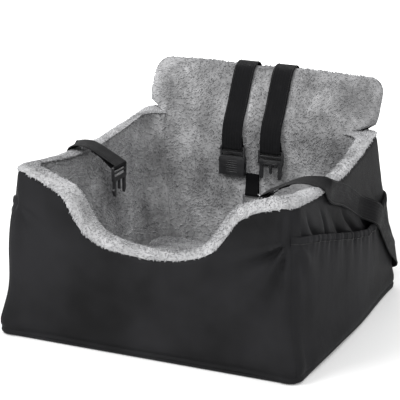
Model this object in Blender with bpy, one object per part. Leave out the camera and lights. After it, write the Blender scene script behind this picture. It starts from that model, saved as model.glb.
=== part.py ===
"""Booster car seat for a small pet: a padded cloth tub with a tall reclined back, side pockets, a lift-out
cushion and webbing straps with side-release buckles. Metres, +Z up, front towards -Y, base on z = 0."""

import math

import bmesh
import bpy
from mathutils import Matrix, Vector

# Tub, outside
base_width = 0.500
base_depth = 0.490
rim_front_width = 0.487
rim_front_lean = 0.024
rim_rear_width = 0.433
rim_rear_lean = 0.016
corner_height = 0.272
rear_rim_height = 0.277
scoop_depth = 0.111
side_dip = 0.017
corner_radius = 0.025
frame_shift = -0.01141

# Tub, layers from outside to inside
cloth = 0.0014
fit_gap = 0.0004
seam_gap = 0.0008
wall_foot = 0.044
wall_rim = 0.014
wall_rim_rear = 0.012
back_foot = 0.046
bowl_radius = 0.040
plush = 0.006
rim_roll_height = 0.010
base_cloth = 0.0016
board = 0.003
floor_plush = 0.004

# Back above the rim
back_top_height = 0.364
back_top_width = 0.420
back_recline = 0.045
back_core = 0.024
back_edge_core = 0.003
back_corner_radius = 0.026
back_shoulder = 0.014

# Seat cushion
cushion_thickness = 0.048
cushion_crown = 0.016
cushion_clearance = 0.007
cushion_draw_in = 0.006
cushion_edge = 0.018

# Side pockets
pocket_cloth = 0.0016
pocket_depth = 0.016
pocket_foot_gap = 0.0012
pocket_foot_height = 0.006
pocket_front_height = 0.217
pocket_middle_height = 0.158
pocket_low_height = 0.143
pocket_rear_height = 0.168
pocket_elastic_width = 0.009

# Webbing
webbing_width = 0.038
webbing_thickness = 0.0016
strap_standoff = 0.0062
strap_arch = 0.008
tail_reach = 0.090
tail_drop = 0.012
loop_clearance = 0.0008
anchor_height = 0.034
anchor_patch_width = 0.044
anchor_patch_height = 0.044
anchor_patch_thickness = 0.0012
headrest_strap_spacing = 0.072
headrest_strap_bar_height = 0.232
headrest_anchor_height = 0.200

# Side-release buckles
buckle_width = 0.047
buckle_plate = 0.0045
buckle_bar = 0.003
buckle_slot = 0.0065
buckle_second_slot = 0.0045
rail_clearance = 0.0008
plug_shoulder = 0.009
prong_length = 0.026
prong_width = 0.0065
prong_hook = 0.003
guide_width = 0.004
guide_length = 0.016
socket_length = 0.034
socket_thickness = 0.0125
socket_wall = 0.0025
socket_window = 0.013
plug_clearance = 0.0005
buckle_corner = 0.003

# Tether ring
ring_width = 0.032
ring_depth = 0.026
ring_wire = 0.0038
ring_height = 0.150
tab_width = 0.024
tab_tail = 0.036

# Rear zip
zip_length = 0.380
zip_tape = 0.030
zip_tape_thickness = 0.0012
zip_coil = 0.005
zip_coil_height = 0.0016
zip_height = 0.095
slider_length = 0.012
slider_width = 0.010
slider_thickness = 0.0042
slider_inset = 0.018
crown_length = 0.009
crown_height = 0.0044
crown_wall = 0.0012
crown_width = 0.003
pull_length = 0.028
pull_width = 0.008
pull_thickness = 0.0016
pull_frame = 0.0018
running_gap = 0.0005
overrun = 0.002
weld_distance = 0.00001

# Shares of the sizes above
scoop_shares = (
    (0.0, 0.0), (0.165, 0.03), (0.29, 0.08), (0.38, 0.14), (0.46, 0.25), (0.52, 0.41), (0.565, 0.56),
    (0.61, 0.71), (0.66, 0.79), (0.73, 0.86), (0.82, 0.93), (0.91, 0.98), (1.0, 1.0),
)
side_dip_shares = ((0.0, 0.0), (0.12, 0.4), (0.27, 0.8), (0.42, 1.0), (0.6, 1.0), (0.8, 0.6), (1.0, 0.0))
row_shares = (0.0, 0.16, 0.36, 0.58, 0.8, 1.0)

# Sections of the tub's outline, anticlockwise from the front right corner
FRONT_RIGHT, RIGHT, REAR_RIGHT, REAR, REAR_LEFT, LEFT, FRONT_LEFT, FRONT = range(8)


def clear_scene():
    for old in list(bpy.data.objects):
        bpy.data.objects.remove(old, do_unlink=True)


def make_material(name, colour, roughness, metallic=0.0):
    material = bpy.data.materials.new(name)
    material.use_nodes = True
    shader = material.node_tree.nodes["Principled BSDF"]
    shader.inputs["Base Color"].default_value = (*colour, 1.0)
    shader.inputs["Roughness"].default_value = roughness
    shader.inputs["Metallic"].default_value = metallic
    return material


def add_mesh(name, points, faces, material, origin=(0.0, 0.0, 0.0), round_angle=50.0):
    """An object of these world points, with its origin at the given place."""
    origin = Vector(origin)
    mesh = bpy.data.meshes.new(name)
    mesh.from_pydata([Vector(point) - origin for point in points], [], faces)
    mesh.validate()
    mesh.shade_smooth()
    mesh.set_sharp_from_angle(angle=math.radians(round_angle))
    made = bpy.data.objects.new(name, mesh)
    made.location = origin
    made.data.materials.append(material)
    bpy.context.scene.collection.objects.link(made)
    return made


def between(low, high, share):
    return low + (high - low) * share


def from_shares(table, share):
    """Straight-line reading of a table of (place, value) shares."""
    for (place, value), (next_place, next_value) in zip(table, table[1:]):
        if share <= next_place:
            return between(value, next_value, (share - place) / (next_place - place))
    return table[-1][1]


def ease(share):
    share = min(max(share, 0.0), 1.0)
    return share * share * (3.0 - 2.0 * share)


def split(a, b, c, d):
    """Two triangles of a quad. Every quad is cut the same way, so that nested layers keep their gap."""
    return [(a, b, c), (a, c, d)]


def slab(name, near, far, material, origin=(0.0, 0.0, 0.0), round_angle=50.0):
    """A closed slab between two grids of points. near[row][column] faces the viewer of the grid, its columns
    run to the right and its rows upwards; far lies behind it."""
    rows, columns = len(near), len(near[0])
    count = rows * columns
    points = [point for row in near for point in row] + [point for row in far for point in row]
    faces = []
    for row in range(rows - 1):
        for column in range(columns - 1):
            a = row * columns + column
            b, c, d = a + 1, a + columns + 1, a + columns
            faces += split(a, b, c, d) + split(count + a, count + d, count + c, count + b)
    border = [(0, column) for column in range(columns)]
    border += [(row, columns - 1) for row in range(1, rows)]
    turning = len(border) - 1
    border += [(rows - 1, column) for column in range(columns - 2, -1, -1)]
    border += [(row, 0) for row in range(rows - 2, 0, -1)]
    ring = [row * columns + column for row, column in border]
    for step, (a, b) in enumerate(zip(ring, ring[1:] + ring[:1])):
        if step < turning:
            faces += split(a, count + a, count + b, b)
        else:
            faces += split(b, a, count + a, count + b)
    return add_mesh(name, points, faces, material, origin, round_angle)


def loft(name, rings, material, origin=(0.0, 0.0, 0.0), round_angle=50.0, thin=False):
    """A closed solid through rings of as many points each, anticlockwise seen from its far end. Where it is
    thin, the far half of each ring's faces is cut the other way, so that both sides bend along the same lines."""
    columns = len(rings[0])
    points = [point for ring in rings for point in ring]
    faces = [tuple(range(columns))[::-1]]
    for row in range(len(rings) - 1):
        for column in range(columns):
            a, b = row * columns + column, row * columns + (column + 1) % columns
            if thin and column >= columns // 2:
                faces += split(b, b + columns, a + columns, a)
            else:
                faces += split(a, b, b + columns, a + columns)
    last = (len(rings) - 1) * columns
    faces.append(tuple(range(last, last + columns)))
    return add_mesh(name, points, faces, material, origin, round_angle)


# The tub's outline and rim


def outer_corners(height):
    """The four corners of the tub's outside at this height, from the front right one anticlockwise."""
    share = height / corner_height
    rear_share = height / rear_rim_height
    front_x = between(base_width, rim_front_width, share) / 2.0
    rear_x = between(base_width, rim_rear_width, rear_share) / 2.0
    front_y = frame_shift - base_depth / 2.0 + rim_front_lean * share
    rear_y = frame_shift + base_depth / 2.0 - rim_rear_lean * rear_share
    return [Vector((front_x, front_y)), Vector((rear_x, rear_y)), Vector((-rear_x, rear_y)), Vector((-front_x, front_y))]


def inner_corners(height):
    """The corners of the foam's inside: the walls thin towards the rim."""
    share = ease(height / corner_height)
    front_wall = between(wall_foot, wall_rim, share)
    rear_side_wall = between(wall_foot, wall_rim_rear, share)
    back_wall = between(back_foot, back_core + 2.0 * plush, share)
    corners = outer_corners(height)
    front, rear = corners[0], corners[1]
    front_x, front_y = front.x - front_wall, front.y + front_wall
    rear_x, rear_y = rear.x - rear_side_wall, rear.y - back_wall
    return [Vector((front_x, front_y)), Vector((rear_x, rear_y)), Vector((-rear_x, rear_y)), Vector((-front_x, front_y))]


def inset_corners(corners, inset):
    """The corners with every side moved inwards by the inset."""
    moved = []
    for index, corner in enumerate(corners):
        before = (corner - corners[index - 1]).normalized()
        after = (corners[(index + 1) % 4] - corner).normalized()
        first, second = Vector((-before.y, before.x)), Vector((-after.y, after.x))
        moved.append(corner + (first + second) * inset / (1.0 + first.dot(second)))
    return moved


def outline_spot(corners, radius, section, share, shift=0.0):
    """A point of the outline with round corners, and its inward direction. Even sections are the corner arcs and
    odd ones the sides after them; shift moves the point on along the outline."""
    index = section // 2
    corner = corners[index]
    before = (corner - corners[index - 1]).normalized()
    after = (corners[(index + 1) % 4] - corner).normalized()
    turn = before.angle(after)
    if section % 2 == 0:
        start = corner - before * radius * math.tan(turn / 2.0)
        inward = Vector((-before.y, before.x))
        centre = start + inward * radius
        inward.rotate(Matrix.Rotation(share * turn + shift / radius, 2))
        return centre - inward * radius, inward
    following = corners[(index + 1) % 4]
    beyond = (corners[(index + 2) % 4] - following).normalized()
    start = corner + after * radius * math.tan(turn / 2.0)
    end = following - after * radius * math.tan(after.angle(beyond) / 2.0)
    return start + (end - start) * share + after * shift, Vector((-after.y, after.x))


def rim_height(section, share):
    """Height of the cloth's top edge, from the scooped front round to the rear."""
    if section == FRONT:
        across = abs(2.0 * share - 1.0) * (1.0 - 2.0 * corner_radius / rim_front_width)
        return corner_height - scoop_depth * (1.0 - from_shares(scoop_shares, across))
    if section in (RIGHT, LEFT):
        back_share = share if section == RIGHT else 1.0 - share
        straight = between(corner_height, rear_rim_height, back_share)
        return straight - side_dip * from_shares(side_dip_shares, back_share)
    return corner_height if section in (FRONT_LEFT, FRONT_RIGHT) else rear_rim_height


def wall_ends(column, height):
    """The outside and inside of the wall at a column and height, and the wall's thickness square to its face."""
    section, share, shift = column
    outside, inward = outline_spot(outer_corners(height), corner_radius, section, share, shift)
    lining = fit_gap + plush
    corners = inset_corners(inner_corners(height), lining)
    inside, _ = outline_spot(corners, bowl_radius - lining, section, share, shift)
    return outside, inside, (inside - outside).dot(inward)


def from_outside(column, height, depth):
    """A point at this depth in the wall, square to its face."""
    outside, inside, thickness = wall_ends(column, height)
    flat = outside + (inside - outside) * depth / thickness
    return Vector((flat.x, flat.y, height))


def from_inside(column, height, depth):
    """A point this far behind the lining's face."""
    outside, inside, thickness = wall_ends(column, height)
    flat = inside + (outside - inside) * depth / thickness
    return Vector((flat.x, flat.y, height))


def outside_spot(column, height, standoff):
    """A point off the tub's outside."""
    section, share, shift = column
    flat, inward = outline_spot(outer_corners(height), corner_radius, section, share, shift)
    flat = flat - inward * standoff
    return Vector((flat.x, flat.y, height))


# Columns of the grids, as (section, share, shift along the outline)


def columns_over(section, shares, shift=0.0):
    return [(section, share, shift) for share in shares]


def even_shares(count):
    return [index / count for index in range(count + 1)]


def front_shares():
    """Places across the front, closest together on the two slopes of the scoop."""
    straight = 1.0 - 2.0 * corner_radius / rim_front_width
    half = [place / straight for place, _ in scoop_shares if place < straight] + [1.0]
    return [(1.0 - place) / 2.0 for place in reversed(half)] + [(1.0 + place) / 2.0 for place in half[1:]]


def front_columns():
    columns = columns_over(FRONT_LEFT, (0.5, 0.75))
    columns += columns_over(FRONT, front_shares())
    columns += columns_over(FRONT_RIGHT, (0.25, 0.5))
    columns[0] = (FRONT_LEFT, 0.5, seam_gap / 2.0)
    columns[-1] = (FRONT_RIGHT, 0.5, -seam_gap / 2.0)
    return columns


def right_columns():
    columns = columns_over(FRONT_RIGHT, (0.5, 0.75))
    columns += columns_over(RIGHT, even_shares(10))
    columns += columns_over(REAR_RIGHT, (0.25, 0.5, 0.75, 1.0))
    columns[0] = (FRONT_RIGHT, 0.5, seam_gap / 2.0)
    columns[-1] = (REAR_RIGHT, 1.0, -seam_gap / 2.0)
    return columns


def mirrored(columns):
    """The same columns on the other side, still running anticlockwise."""
    opposite = {FRONT_RIGHT: FRONT_LEFT, RIGHT: LEFT, REAR_RIGHT: REAR_LEFT}
    return [(opposite[section], 1.0 - share, -shift) for section, share, shift in reversed(columns)]


def wall_piece(name, columns, near, far, material, foot):
    """A piece of the wall between two of its surfaces, from the foot to the rim."""
    near_rows, far_rows = [], []
    for row_share in row_shares:
        near_row, far_row = [], []
        for column in columns:
            height = between(foot, rim_height(column[0], column[1]), row_share)
            near_row.append(near(column, height))
            far_row.append(far(column, height))
        near_rows.append(near_row)
        far_rows.append(far_row)
    return slab(name, near_rows, far_rows, material)


# The back, which carries on above the rim as a reclined pillow

back_places = (1.0, 0.92, 0.76, 0.5, 0.25, 0.0, -0.25, -0.5, -0.76, -0.92, -1.0)
board_reach_share = 0.76
pillow_power = 6
back_upper_shares = (0.3, 0.6)
back_corner_turns = (0.0, 30.0, 60.0, 90.0)


def shoulder_height():
    return rear_rim_height + 2.0 * fit_gap


def back_rows():
    """Heights of the back's rows above the rim, with the half width of each."""
    foot = shoulder_height() + back_shoulder
    corner_foot = back_top_height - back_corner_radius
    rows = [(foot, back_top_width / 2.0)]
    rows += [(between(foot, corner_foot, share), back_top_width / 2.0) for share in back_upper_shares]
    for turn in back_corner_turns:
        angle = math.radians(turn)
        height = corner_foot + back_corner_radius * math.sin(angle)
        rows.append((height, back_top_width / 2.0 - back_corner_radius * (1.0 - math.cos(angle))))
    return rows


def recline_frame():
    """Where the back's middle surface starts, and its upward and forward directions."""
    rear_y = outer_corners(shoulder_height())[1].y
    start = Vector((0.0, rear_y - cloth - board - 2.0 * fit_gap - back_core / 2.0, shoulder_height()))
    upward = Vector((0.0, back_recline, back_top_height - shoulder_height())).normalized()
    return start, upward, Vector((0.0, -upward.z, upward.y))


def core_half(place, height):
    """Half the thickness of the back's foam, thin along its edges."""
    top_share = (height - shoulder_height()) / (back_top_height - shoulder_height())
    full = (1.0 - abs(place) ** pillow_power) * (1.0 - max(top_share, 0.0) ** (2 * pillow_power))
    return between(back_edge_core, back_core, full) / 2.0


def board_room(place):
    """Depth that the board takes, closed up beyond its edges."""
    beyond = (abs(place) - board_reach_share) / (1.0 - board_reach_share)
    return (board + fit_gap) * (1.0 - ease(beyond))


def back_point(place, height, half_width, forward):
    """A point of the reclined back; forward is its distance from the middle surface."""
    start, upward, ahead = recline_frame()
    along = (height - start.z) / upward.z
    spot = start + upward * along + ahead * forward
    spot.x = place * half_width
    return spot


def back_grid(places, lower, upper_forward):
    """Rows of points of one surface of the back. lower gives its points below the rim, and upper_forward its
    distance in front of the middle surface above it."""
    rows = []
    foot = base_cloth + fit_gap
    heights = [between(foot, rear_rim_height, share) for share in row_shares] + [shoulder_height()]
    for height in heights:
        rows.append([lower((REAR, (1.0 - place) / 2.0, 0.0), height) for place in places])
    for height, half_width in back_rows():
        rows.append([back_point(place, height, half_width, upper_forward(place, height)) for place in places])
    return rows


def off_seam(column):
    """The column drawn in from the seams at the ends of the rear, where the side walls start."""
    section, share, _ = column
    return section, share, (0.5 - share) * seam_gap


def make_back(materials):
    skin = cloth + fit_gap

    def outside(inset):
        return lambda column, height: from_outside(off_seam(column), height, inset(1.0 - 2.0 * column[1]))

    def inside(inset):
        return lambda column, height: from_inside(off_seam(column), height, inset)

    def behind(extra):
        return lambda place, height: -core_half(place, height) - board_room(place) - fit_gap - extra

    def before(extra):
        return lambda place, height: core_half(place, height) + extra

    def behind_core(place, height):
        return -core_half(place, height)

    board_places = [place for place in back_places if abs(place) <= board_reach_share]
    slab(
        "rear_panel", back_grid(back_places, outside(lambda place: 0.0), behind(cloth)),
        back_grid(back_places, outside(lambda place: cloth), behind(0.0)), materials["cloth"],
    )
    slab(
        "back_board", back_grid(board_places, outside(lambda place: skin), behind(-fit_gap)),
        back_grid(board_places, outside(lambda place: skin + board), behind(-fit_gap - board)), materials["board"],
    )
    slab(
        "back_foam", back_grid(back_places, outside(lambda place: skin + board_room(place)), behind_core),
        back_grid(back_places, inside(plush + fit_gap), before(0.0)), materials["foam"],
    )
    slab(
        "back_liner", back_grid(back_places, inside(plush), before(fit_gap)),
        back_grid(back_places, inside(0.0), before(fit_gap + plush)), materials["plush"],
    )


# The walls


def make_walls(materials):
    foot = base_cloth + fit_gap
    skin = cloth + fit_gap
    runs = {"front": front_columns(), "right": right_columns(), "left": mirrored(right_columns())}
    for side, columns in runs.items():
        panel = f"{side}_panel" if side == "front" else f"{side}_side_panel"
        wall_piece(
            panel, columns, lambda column, height: from_outside(column, height, 0.0),
            lambda column, height: from_outside(column, height, cloth), materials["cloth"], foot,
        )
        wall_piece(
            f"{side}_foam", columns, lambda column, height: from_outside(column, height, skin),
            lambda column, height: from_inside(column, height, plush + fit_gap), materials["foam"], foot,
        )
        wall_piece(
            f"{side}_liner", columns, lambda column, height: from_inside(column, height, plush),
            lambda column, height: from_inside(column, height, 0.0), materials["plush"], foot,
        )


roll_turns = (0.0, 30.0, 60.0, 90.0, 120.0, 150.0, 180.0)
roll_end_share = 0.955
roll_rise_shares = ((0.0, 1.0), (0.15, 0.85), (0.5, 0.75), (0.955, 0.3), (1.0, 0.3))


def rim_roll(name, columns, material):
    """The plush roll along the top of the wall, highest at the front and lowest at its rear end."""
    rings = []
    for column in columns:
        section, share, _ = column
        back_share = {RIGHT: share, LEFT: 1.0 - share}.get(section, 0.0)
        rise = rim_roll_height * from_shares(roll_rise_shares, back_share)
        height = rim_height(section, share) + seam_gap
        inner = from_inside(column, height, 0.0)
        outer = from_outside(column, height, 0.0)
        ring = []
        for turn in roll_turns:
            angle = math.radians(turn)
            spot = inner + (outer - inner) * (1.0 - math.cos(angle)) / 2.0
            spot.z = height + rise * math.sin(angle)
            ring.append(spot)
        rings.append(ring)
    return loft(name, rings, material)


def make_rims(materials):
    side = [column for column in right_columns() if column[0] == FRONT_RIGHT or column[0] == RIGHT]
    side = [column for column in side if column[0] != RIGHT or column[1] < roll_end_share]
    side.append((RIGHT, roll_end_share, 0.0))
    rim_roll("front_rim", front_columns(), materials["plush"])
    rim_roll("right_rim", side, materials["plush"])
    rim_roll("left_rim", mirrored(side), materials["plush"])


# The base and the cushion

corner_shares = (0.0, 0.25, 0.5, 0.75)
side_shares = (0.0, 0.25, 0.5, 0.75)


def outline_ring(corners, radius, height, inset, draw_in=0.0):
    """A ring of points round a four-cornered outline; draw_in pulls the middles of its sides inwards."""
    ring = []
    for section in range(8):
        for share in corner_shares if section % 2 == 0 else side_shares:
            pull = draw_in * math.sin(math.pi * share) if section % 2 else 0.0
            moved = inset_corners(corners, inset + pull)
            flat, _ = outline_spot(moved, radius, section, share)
            ring.append(Vector((flat.x, flat.y, height)))
    return ring


def flat_sheet(name, corners, radius, inset, low, thickness, material):
    rings = [outline_ring(corners, radius, low, inset), outline_ring(corners, radius, low + thickness, inset)]
    return loft(name, rings, material)


def make_base(materials):
    foot = base_cloth + fit_gap
    inside = fit_gap + plush + fit_gap
    flat_sheet("base_panel", outer_corners(0.0), corner_radius, 0.0, 0.0, base_cloth, materials["cloth"])
    flat_sheet("base_board", inner_corners(foot), bowl_radius - inside, inside, foot, board, materials["board"])
    low = foot + board + fit_gap
    flat_sheet("floor_liner", inner_corners(low), bowl_radius - inside, inside, low, floor_plush, materials["plush"])
    return low + floor_plush


# The cushion's rounded edge: (share of the edge drawn in, height share), and its crown in shares of the half width
cushion_edge_shares = ((0.55, 0.0), (0.16, 0.2), (0.0, 0.45), (0.1, 0.68), (0.55, 0.9), (1.6, 1.0))
cushion_crown_shares = (0.35, 0.55, 0.75, 0.92)
crown_corner_share = 0.2


def make_cushion(floor_top, materials):
    low = floor_top + fit_gap
    inset = fit_gap + plush + cushion_clearance
    corners = inner_corners(low + cushion_thickness / 2.0)
    radius = bowl_radius - inset
    rings = []
    for edge_share, rise in cushion_edge_shares:
        drawn = inset + cushion_edge * edge_share
        rings.append(outline_ring(corners, radius, low + cushion_thickness * rise, drawn, cushion_draw_in))
    half = min(corners[1].x, (corners[1].y - corners[0].y) / 2.0) - inset
    start = cushion_edge * cushion_edge_shares[-1][0]
    for share in cushion_crown_shares:
        drawn = inset + between(start, half, share)
        height = low + cushion_thickness + cushion_crown * math.sin(share * math.pi / 2.0)
        rings.append(outline_ring(corners, radius * between(1.0, crown_corner_share, share), height, drawn))
    return loft("seat_cushion", rings, materials["plush"], origin=(0.0, 0.0, low), round_angle=80.0)


# The side pockets

# Shares of the front and rear corners where a pocket starts and ends, and of its length where its mouth changes
pocket_front_shares = (0.62, 0.85)
pocket_rear_shares = (0.3, 0.6)
pocket_side_columns = 10
pocket_row_shares = (0.0, 0.25, 0.5, 0.75, 1.0)
mouth_place_shares = (0.0, 0.14, 0.52, 0.66, 0.84, 1.0)
mouth_front_drop_share = 0.22
sag_power = 0.7
standoff_power = 1.4


def pocket_columns():
    columns = columns_over(FRONT_RIGHT, pocket_front_shares)
    columns += columns_over(RIGHT, even_shares(pocket_side_columns))
    columns += columns_over(REAR_RIGHT, pocket_rear_shares)
    return columns


def progress_of(column):
    """How far back along the pocket a column lies, 0 at the front seam and 1 at the rear end."""
    section, share, _ = column
    arc = corner_radius * math.pi / 2.0
    run = base_depth - 2.0 * corner_radius
    length = {FRONT_RIGHT: (share - 1.0) * arc, RIGHT: share * run, REAR_RIGHT: run + share * arc}[section]
    start, end = (pocket_front_shares[0] - 1.0) * arc, run + pocket_rear_shares[-1] * arc
    return (length - start) / (end - start)


def mouth_height(progress):
    """The pocket's top edge: high at the front seam, lowest two thirds back, higher at the rear."""
    heights = (
        pocket_front_height, between(pocket_front_height, pocket_middle_height, mouth_front_drop_share),
        pocket_middle_height, pocket_low_height, pocket_low_height, pocket_rear_height,
    )
    return from_shares(tuple(zip(mouth_place_shares, heights)), progress)


def pocket_cavity(progress, rise):
    """How far the pocket's inside stands off the side panel."""
    sag = max(math.sin(math.pi * progress), 0.0) ** sag_power
    return pocket_foot_gap + pocket_depth * sag * rise ** standoff_power


def pocket_grid(columns, rows, extra):
    grid = []
    for row in rows:
        line = []
        for column in columns:
            progress = progress_of(column)
            height, rise = row(progress)
            line.append(outside_spot(column, height, pocket_cavity(progress, rise) + extra))
        grid.append(line)
    return grid


def mirror_grid(grid):
    return [[Vector((-point.x, point.y, point.z)) for point in reversed(row)] for row in grid]


def make_pockets(materials):
    columns = pocket_columns()

    def panel_row(share):
        return lambda progress: (between(pocket_foot_height, mouth_height(progress), share), share)

    def elastic_row(rise):
        return lambda progress: (mouth_height(progress) + fit_gap + rise, 1.0)

    rows = [panel_row(share) for share in pocket_row_shares]
    near, far = pocket_grid(columns, rows, pocket_cloth), pocket_grid(columns, rows, 0.0)
    rows = [elastic_row(0.0), elastic_row(pocket_elastic_width)]
    band_near = pocket_grid(columns, rows, pocket_cloth + fit_gap)
    band_far = pocket_grid(columns, rows, -fit_gap / 2.0)
    slab("right_pocket", near, far, materials["cloth"])
    slab("right_pocket_elastic", band_near, band_far, materials["binding"])
    slab("left_pocket", mirror_grid(near), mirror_grid(far), materials["cloth"])
    slab("left_pocket_elastic", mirror_grid(band_near), mirror_grid(band_far), materials["binding"])


# Webbing straps


def smooth(points, steps):
    """Points of a smooth curve through these ones, with no wide swing where two of them are close."""
    ends = [points[0] * 2.0 - points[1]] + list(points) + [points[-1] * 2.0 - points[-2]]
    slopes = []
    for before, here, after in zip(ends, ends[1:], ends[2:]):
        reach = min((here - before).length, (after - here).length)
        slopes.append((after - before).normalized() * reach)
    curve = []
    for start, end, leaving, arriving in zip(points, points[1:], slopes, slopes[1:]):
        for step in range(steps):
            t = step / steps
            eased = ease(t)
            curve.append(
                start * (1.0 - eased) + end * eased + leaving * t * (1.0 - t) ** 2 - arriving * t * t * (1.0 - t)
            )
    return curve + [points[-1]]


def ribbon(name, stops, width, material, steps=3):
    """Webbing through the stops, each a centre and the direction that its face looks. Its edges turn gradually."""
    centres = smooth([Vector(centre) for centre, _ in stops], steps)
    looks = smooth([Vector(look).normalized() for _, look in stops], steps)
    last = len(centres) - 1
    aheads = [(centres[min(k + 1, last)] - centres[max(k - 1, 0)]).normalized() for k in range(last + 1)]
    sides = [look.cross(ahead).normalized() for look, ahead in zip(looks, aheads)]
    for _ in range(side_blend_rounds):
        padded = sides[:1] + sides + sides[-1:]
        sides = [(before + side * 2.0 + after).normalized() for before, side, after in zip(padded, sides, padded[2:])]
    rings = []
    for centre, ahead, side in zip(centres, aheads, sides):
        face = ahead.cross(side).normalized() * webbing_thickness / 2.0
        edge = side * width / 2.0
        rings.append([centre + edge + face, centre - edge + face, centre - edge - face, centre + edge - face])
    return loft(name, rings, material, round_angle=30.0, thin=True)


def loop_radius(bar_reach):
    """Radius of the webbing's middle round a bar that reaches this far from its centre."""
    return bar_reach + loop_clearance + webbing_thickness / 2.0


def bar_reach():
    return math.hypot(buckle_bar, buckle_plate) / 2.0


def loop_stops(bar, ahead, face, radius, turns=(0.0, 45.0, 90.0, 135.0, 180.0)):
    """Stops round a bar, from its face side over its far side."""
    stops = []
    for turn in turns:
        angle = math.radians(turn)
        spoke = face * math.cos(angle) + ahead * math.sin(angle)
        stops.append((bar + spoke * radius, spoke))
    return stops


# A side strap's sewn end behind and its turn forward: (section, share, height share of the anchor, standoff share)
anchor_turn_shares = ((REAR, 0.02, 1.15, 1.6), (REAR_RIGHT, 0.5, 1.6, 2.4))
anchor_end_shares = (0.2, 0.1)
patch_place_share = 0.15
# Where the side straps run: (share of the way from the rear corner to the crossing, height share of the rim)
strap_run_shares = (
    (0.057, 0.335), (0.229, 0.53), (0.329, 0.61), (0.429, 0.672), (0.571, 0.75), (0.743, 0.84), (0.92, 0.905),
)
# The tail over the rim: (share of the reach inwards, rise share, face share inwards)
tail_shares = (
    (-0.055, 0.1, -0.85), (0.02, 0.64, -0.5), (0.18, 0.93, -0.2), (0.36, 1.0, 0.05), (0.54, 0.76, 0.4),
    (0.73, 0.3, 0.55),
)
left_crossing_share = 0.404
right_crossing_share = 0.30
strap_rise_shares = (0.0, 0.3, 0.62, 0.8, 0.93)
left_tail_drift = 0.010
right_tail_drift = 0.022
drift_end_share = 0.6
side_blend_rounds = 6


def pocket_standoff(share, height):
    """How far the pocket reaches off the side where webbing of this height share crosses it."""
    progress = progress_of((RIGHT, share, 0.0))
    mouth = mouth_height(progress)
    low = height - webbing_width / 2.0
    if low > mouth + pocket_elastic_width:
        return 0.0
    rise = min(max((height + webbing_width / 4.0) / mouth, 0.0), 1.0)
    return pocket_cavity(progress, rise) + pocket_cloth + fit_gap


def run_stops(crossing):
    """Stops of a right-hand side strap from its sewn end behind up to the rim."""
    rear = Vector((0.0, rear_rim_height, rim_rear_lean)).normalized()
    side = Vector((rear_rim_height, 0.0, (base_width - rim_rear_width) / 4.0)).normalized()
    flat = webbing_thickness / 2.0 + 3.0 * fit_gap
    stops = [(outside_spot((REAR, share, 0.0), anchor_height, flat), rear) for share in anchor_end_shares]
    for (section, share, height_share, off_share), look in zip(anchor_turn_shares, (rear, rear + side)):
        column = (section, share, 0.0)
        stops.append((outside_spot(column, anchor_height * height_share, strap_standoff * off_share), look))
    for way_share, height_share in strap_run_shares:
        share = between(1.0, crossing, way_share)
        height = rear_rim_height * height_share
        standoff = strap_standoff + pocket_standoff(share, height)
        stops.append((outside_spot((RIGHT, share, 0.0), height, standoff), side))
    return stops


def tail_stops(crossing, drift):
    """Stops of a right-hand strap's free tail over the rim, and the bar that it ends at."""
    column = (RIGHT, crossing, 0.0)
    rim = outside_spot(column, rim_height(RIGHT, crossing), 0.0)
    rise = rim_roll_height + strap_arch

    def spot(reach_share, rise_share):
        moved = drift * (1.0 - (1.0 - min(reach_share / drift_end_share, 1.0)) ** 2)
        return rim + Vector((-tail_reach * reach_share, -moved, rise * rise_share))

    stops = [(spot(reach, height), (-face, 0.0, 1.0 - abs(face))) for reach, height, face in tail_shares]
    bar = rim + Vector((-tail_reach, -drift, -tail_drop))
    last = stops[-1][0]
    ahead = (bar - last).normalized()
    ahead.y = 0.0
    ahead.normalize()
    face = Vector((ahead.z, 0.0, -ahead.x))
    radius = loop_radius(bar_reach())
    stops += loop_stops(bar, ahead, face, radius)
    under = webbing_thickness + 2.0 * fit_gap
    for centre, look in reversed(stops[4:6]):
        look = Vector(look).normalized()
        stops.append((centre - look * under, -look))
    return stops, bar


def mirror_stops(stops):
    flip = Vector((-1.0, 1.0, 1.0))
    return [(Vector(centre) * flip, Vector(look) * flip) for centre, look in stops]


def make_side_straps(materials):
    """The two side straps and their patches. It returns the bars at their ends."""
    right_tail, right_bar = tail_stops(right_crossing_share, right_tail_drift)
    left_tail, left_bar = tail_stops(left_crossing_share, left_tail_drift)
    right = run_stops(right_crossing_share) + right_tail
    left = run_stops(left_crossing_share) + left_tail
    ribbon("right_strap", right, webbing_width, materials["webbing"])
    ribbon("left_strap", mirror_stops(left), webbing_width, materials["webbing"])
    standoff = webbing_thickness + 5.0 * fit_gap
    near, far = [], []
    for up in (-0.5, 0.5):
        middle = outside_spot((REAR, patch_place_share, 0.0), anchor_height + anchor_patch_height * up, standoff)
        row = [middle + Vector((anchor_patch_width * across, 0.0, 0.0)) for across in (0.5, -0.5)]
        near.append([point + Vector((0.0, anchor_patch_thickness, 0.0)) for point in row])
        far.append(row)
    slab("right_strap_patch", near, far, materials["webbing"])
    slab("left_strap_patch", mirror_grid(near), mirror_grid(far), materials["webbing"])
    return right_bar, left_bar * Vector((-1.0, 1.0, 1.0))


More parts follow.
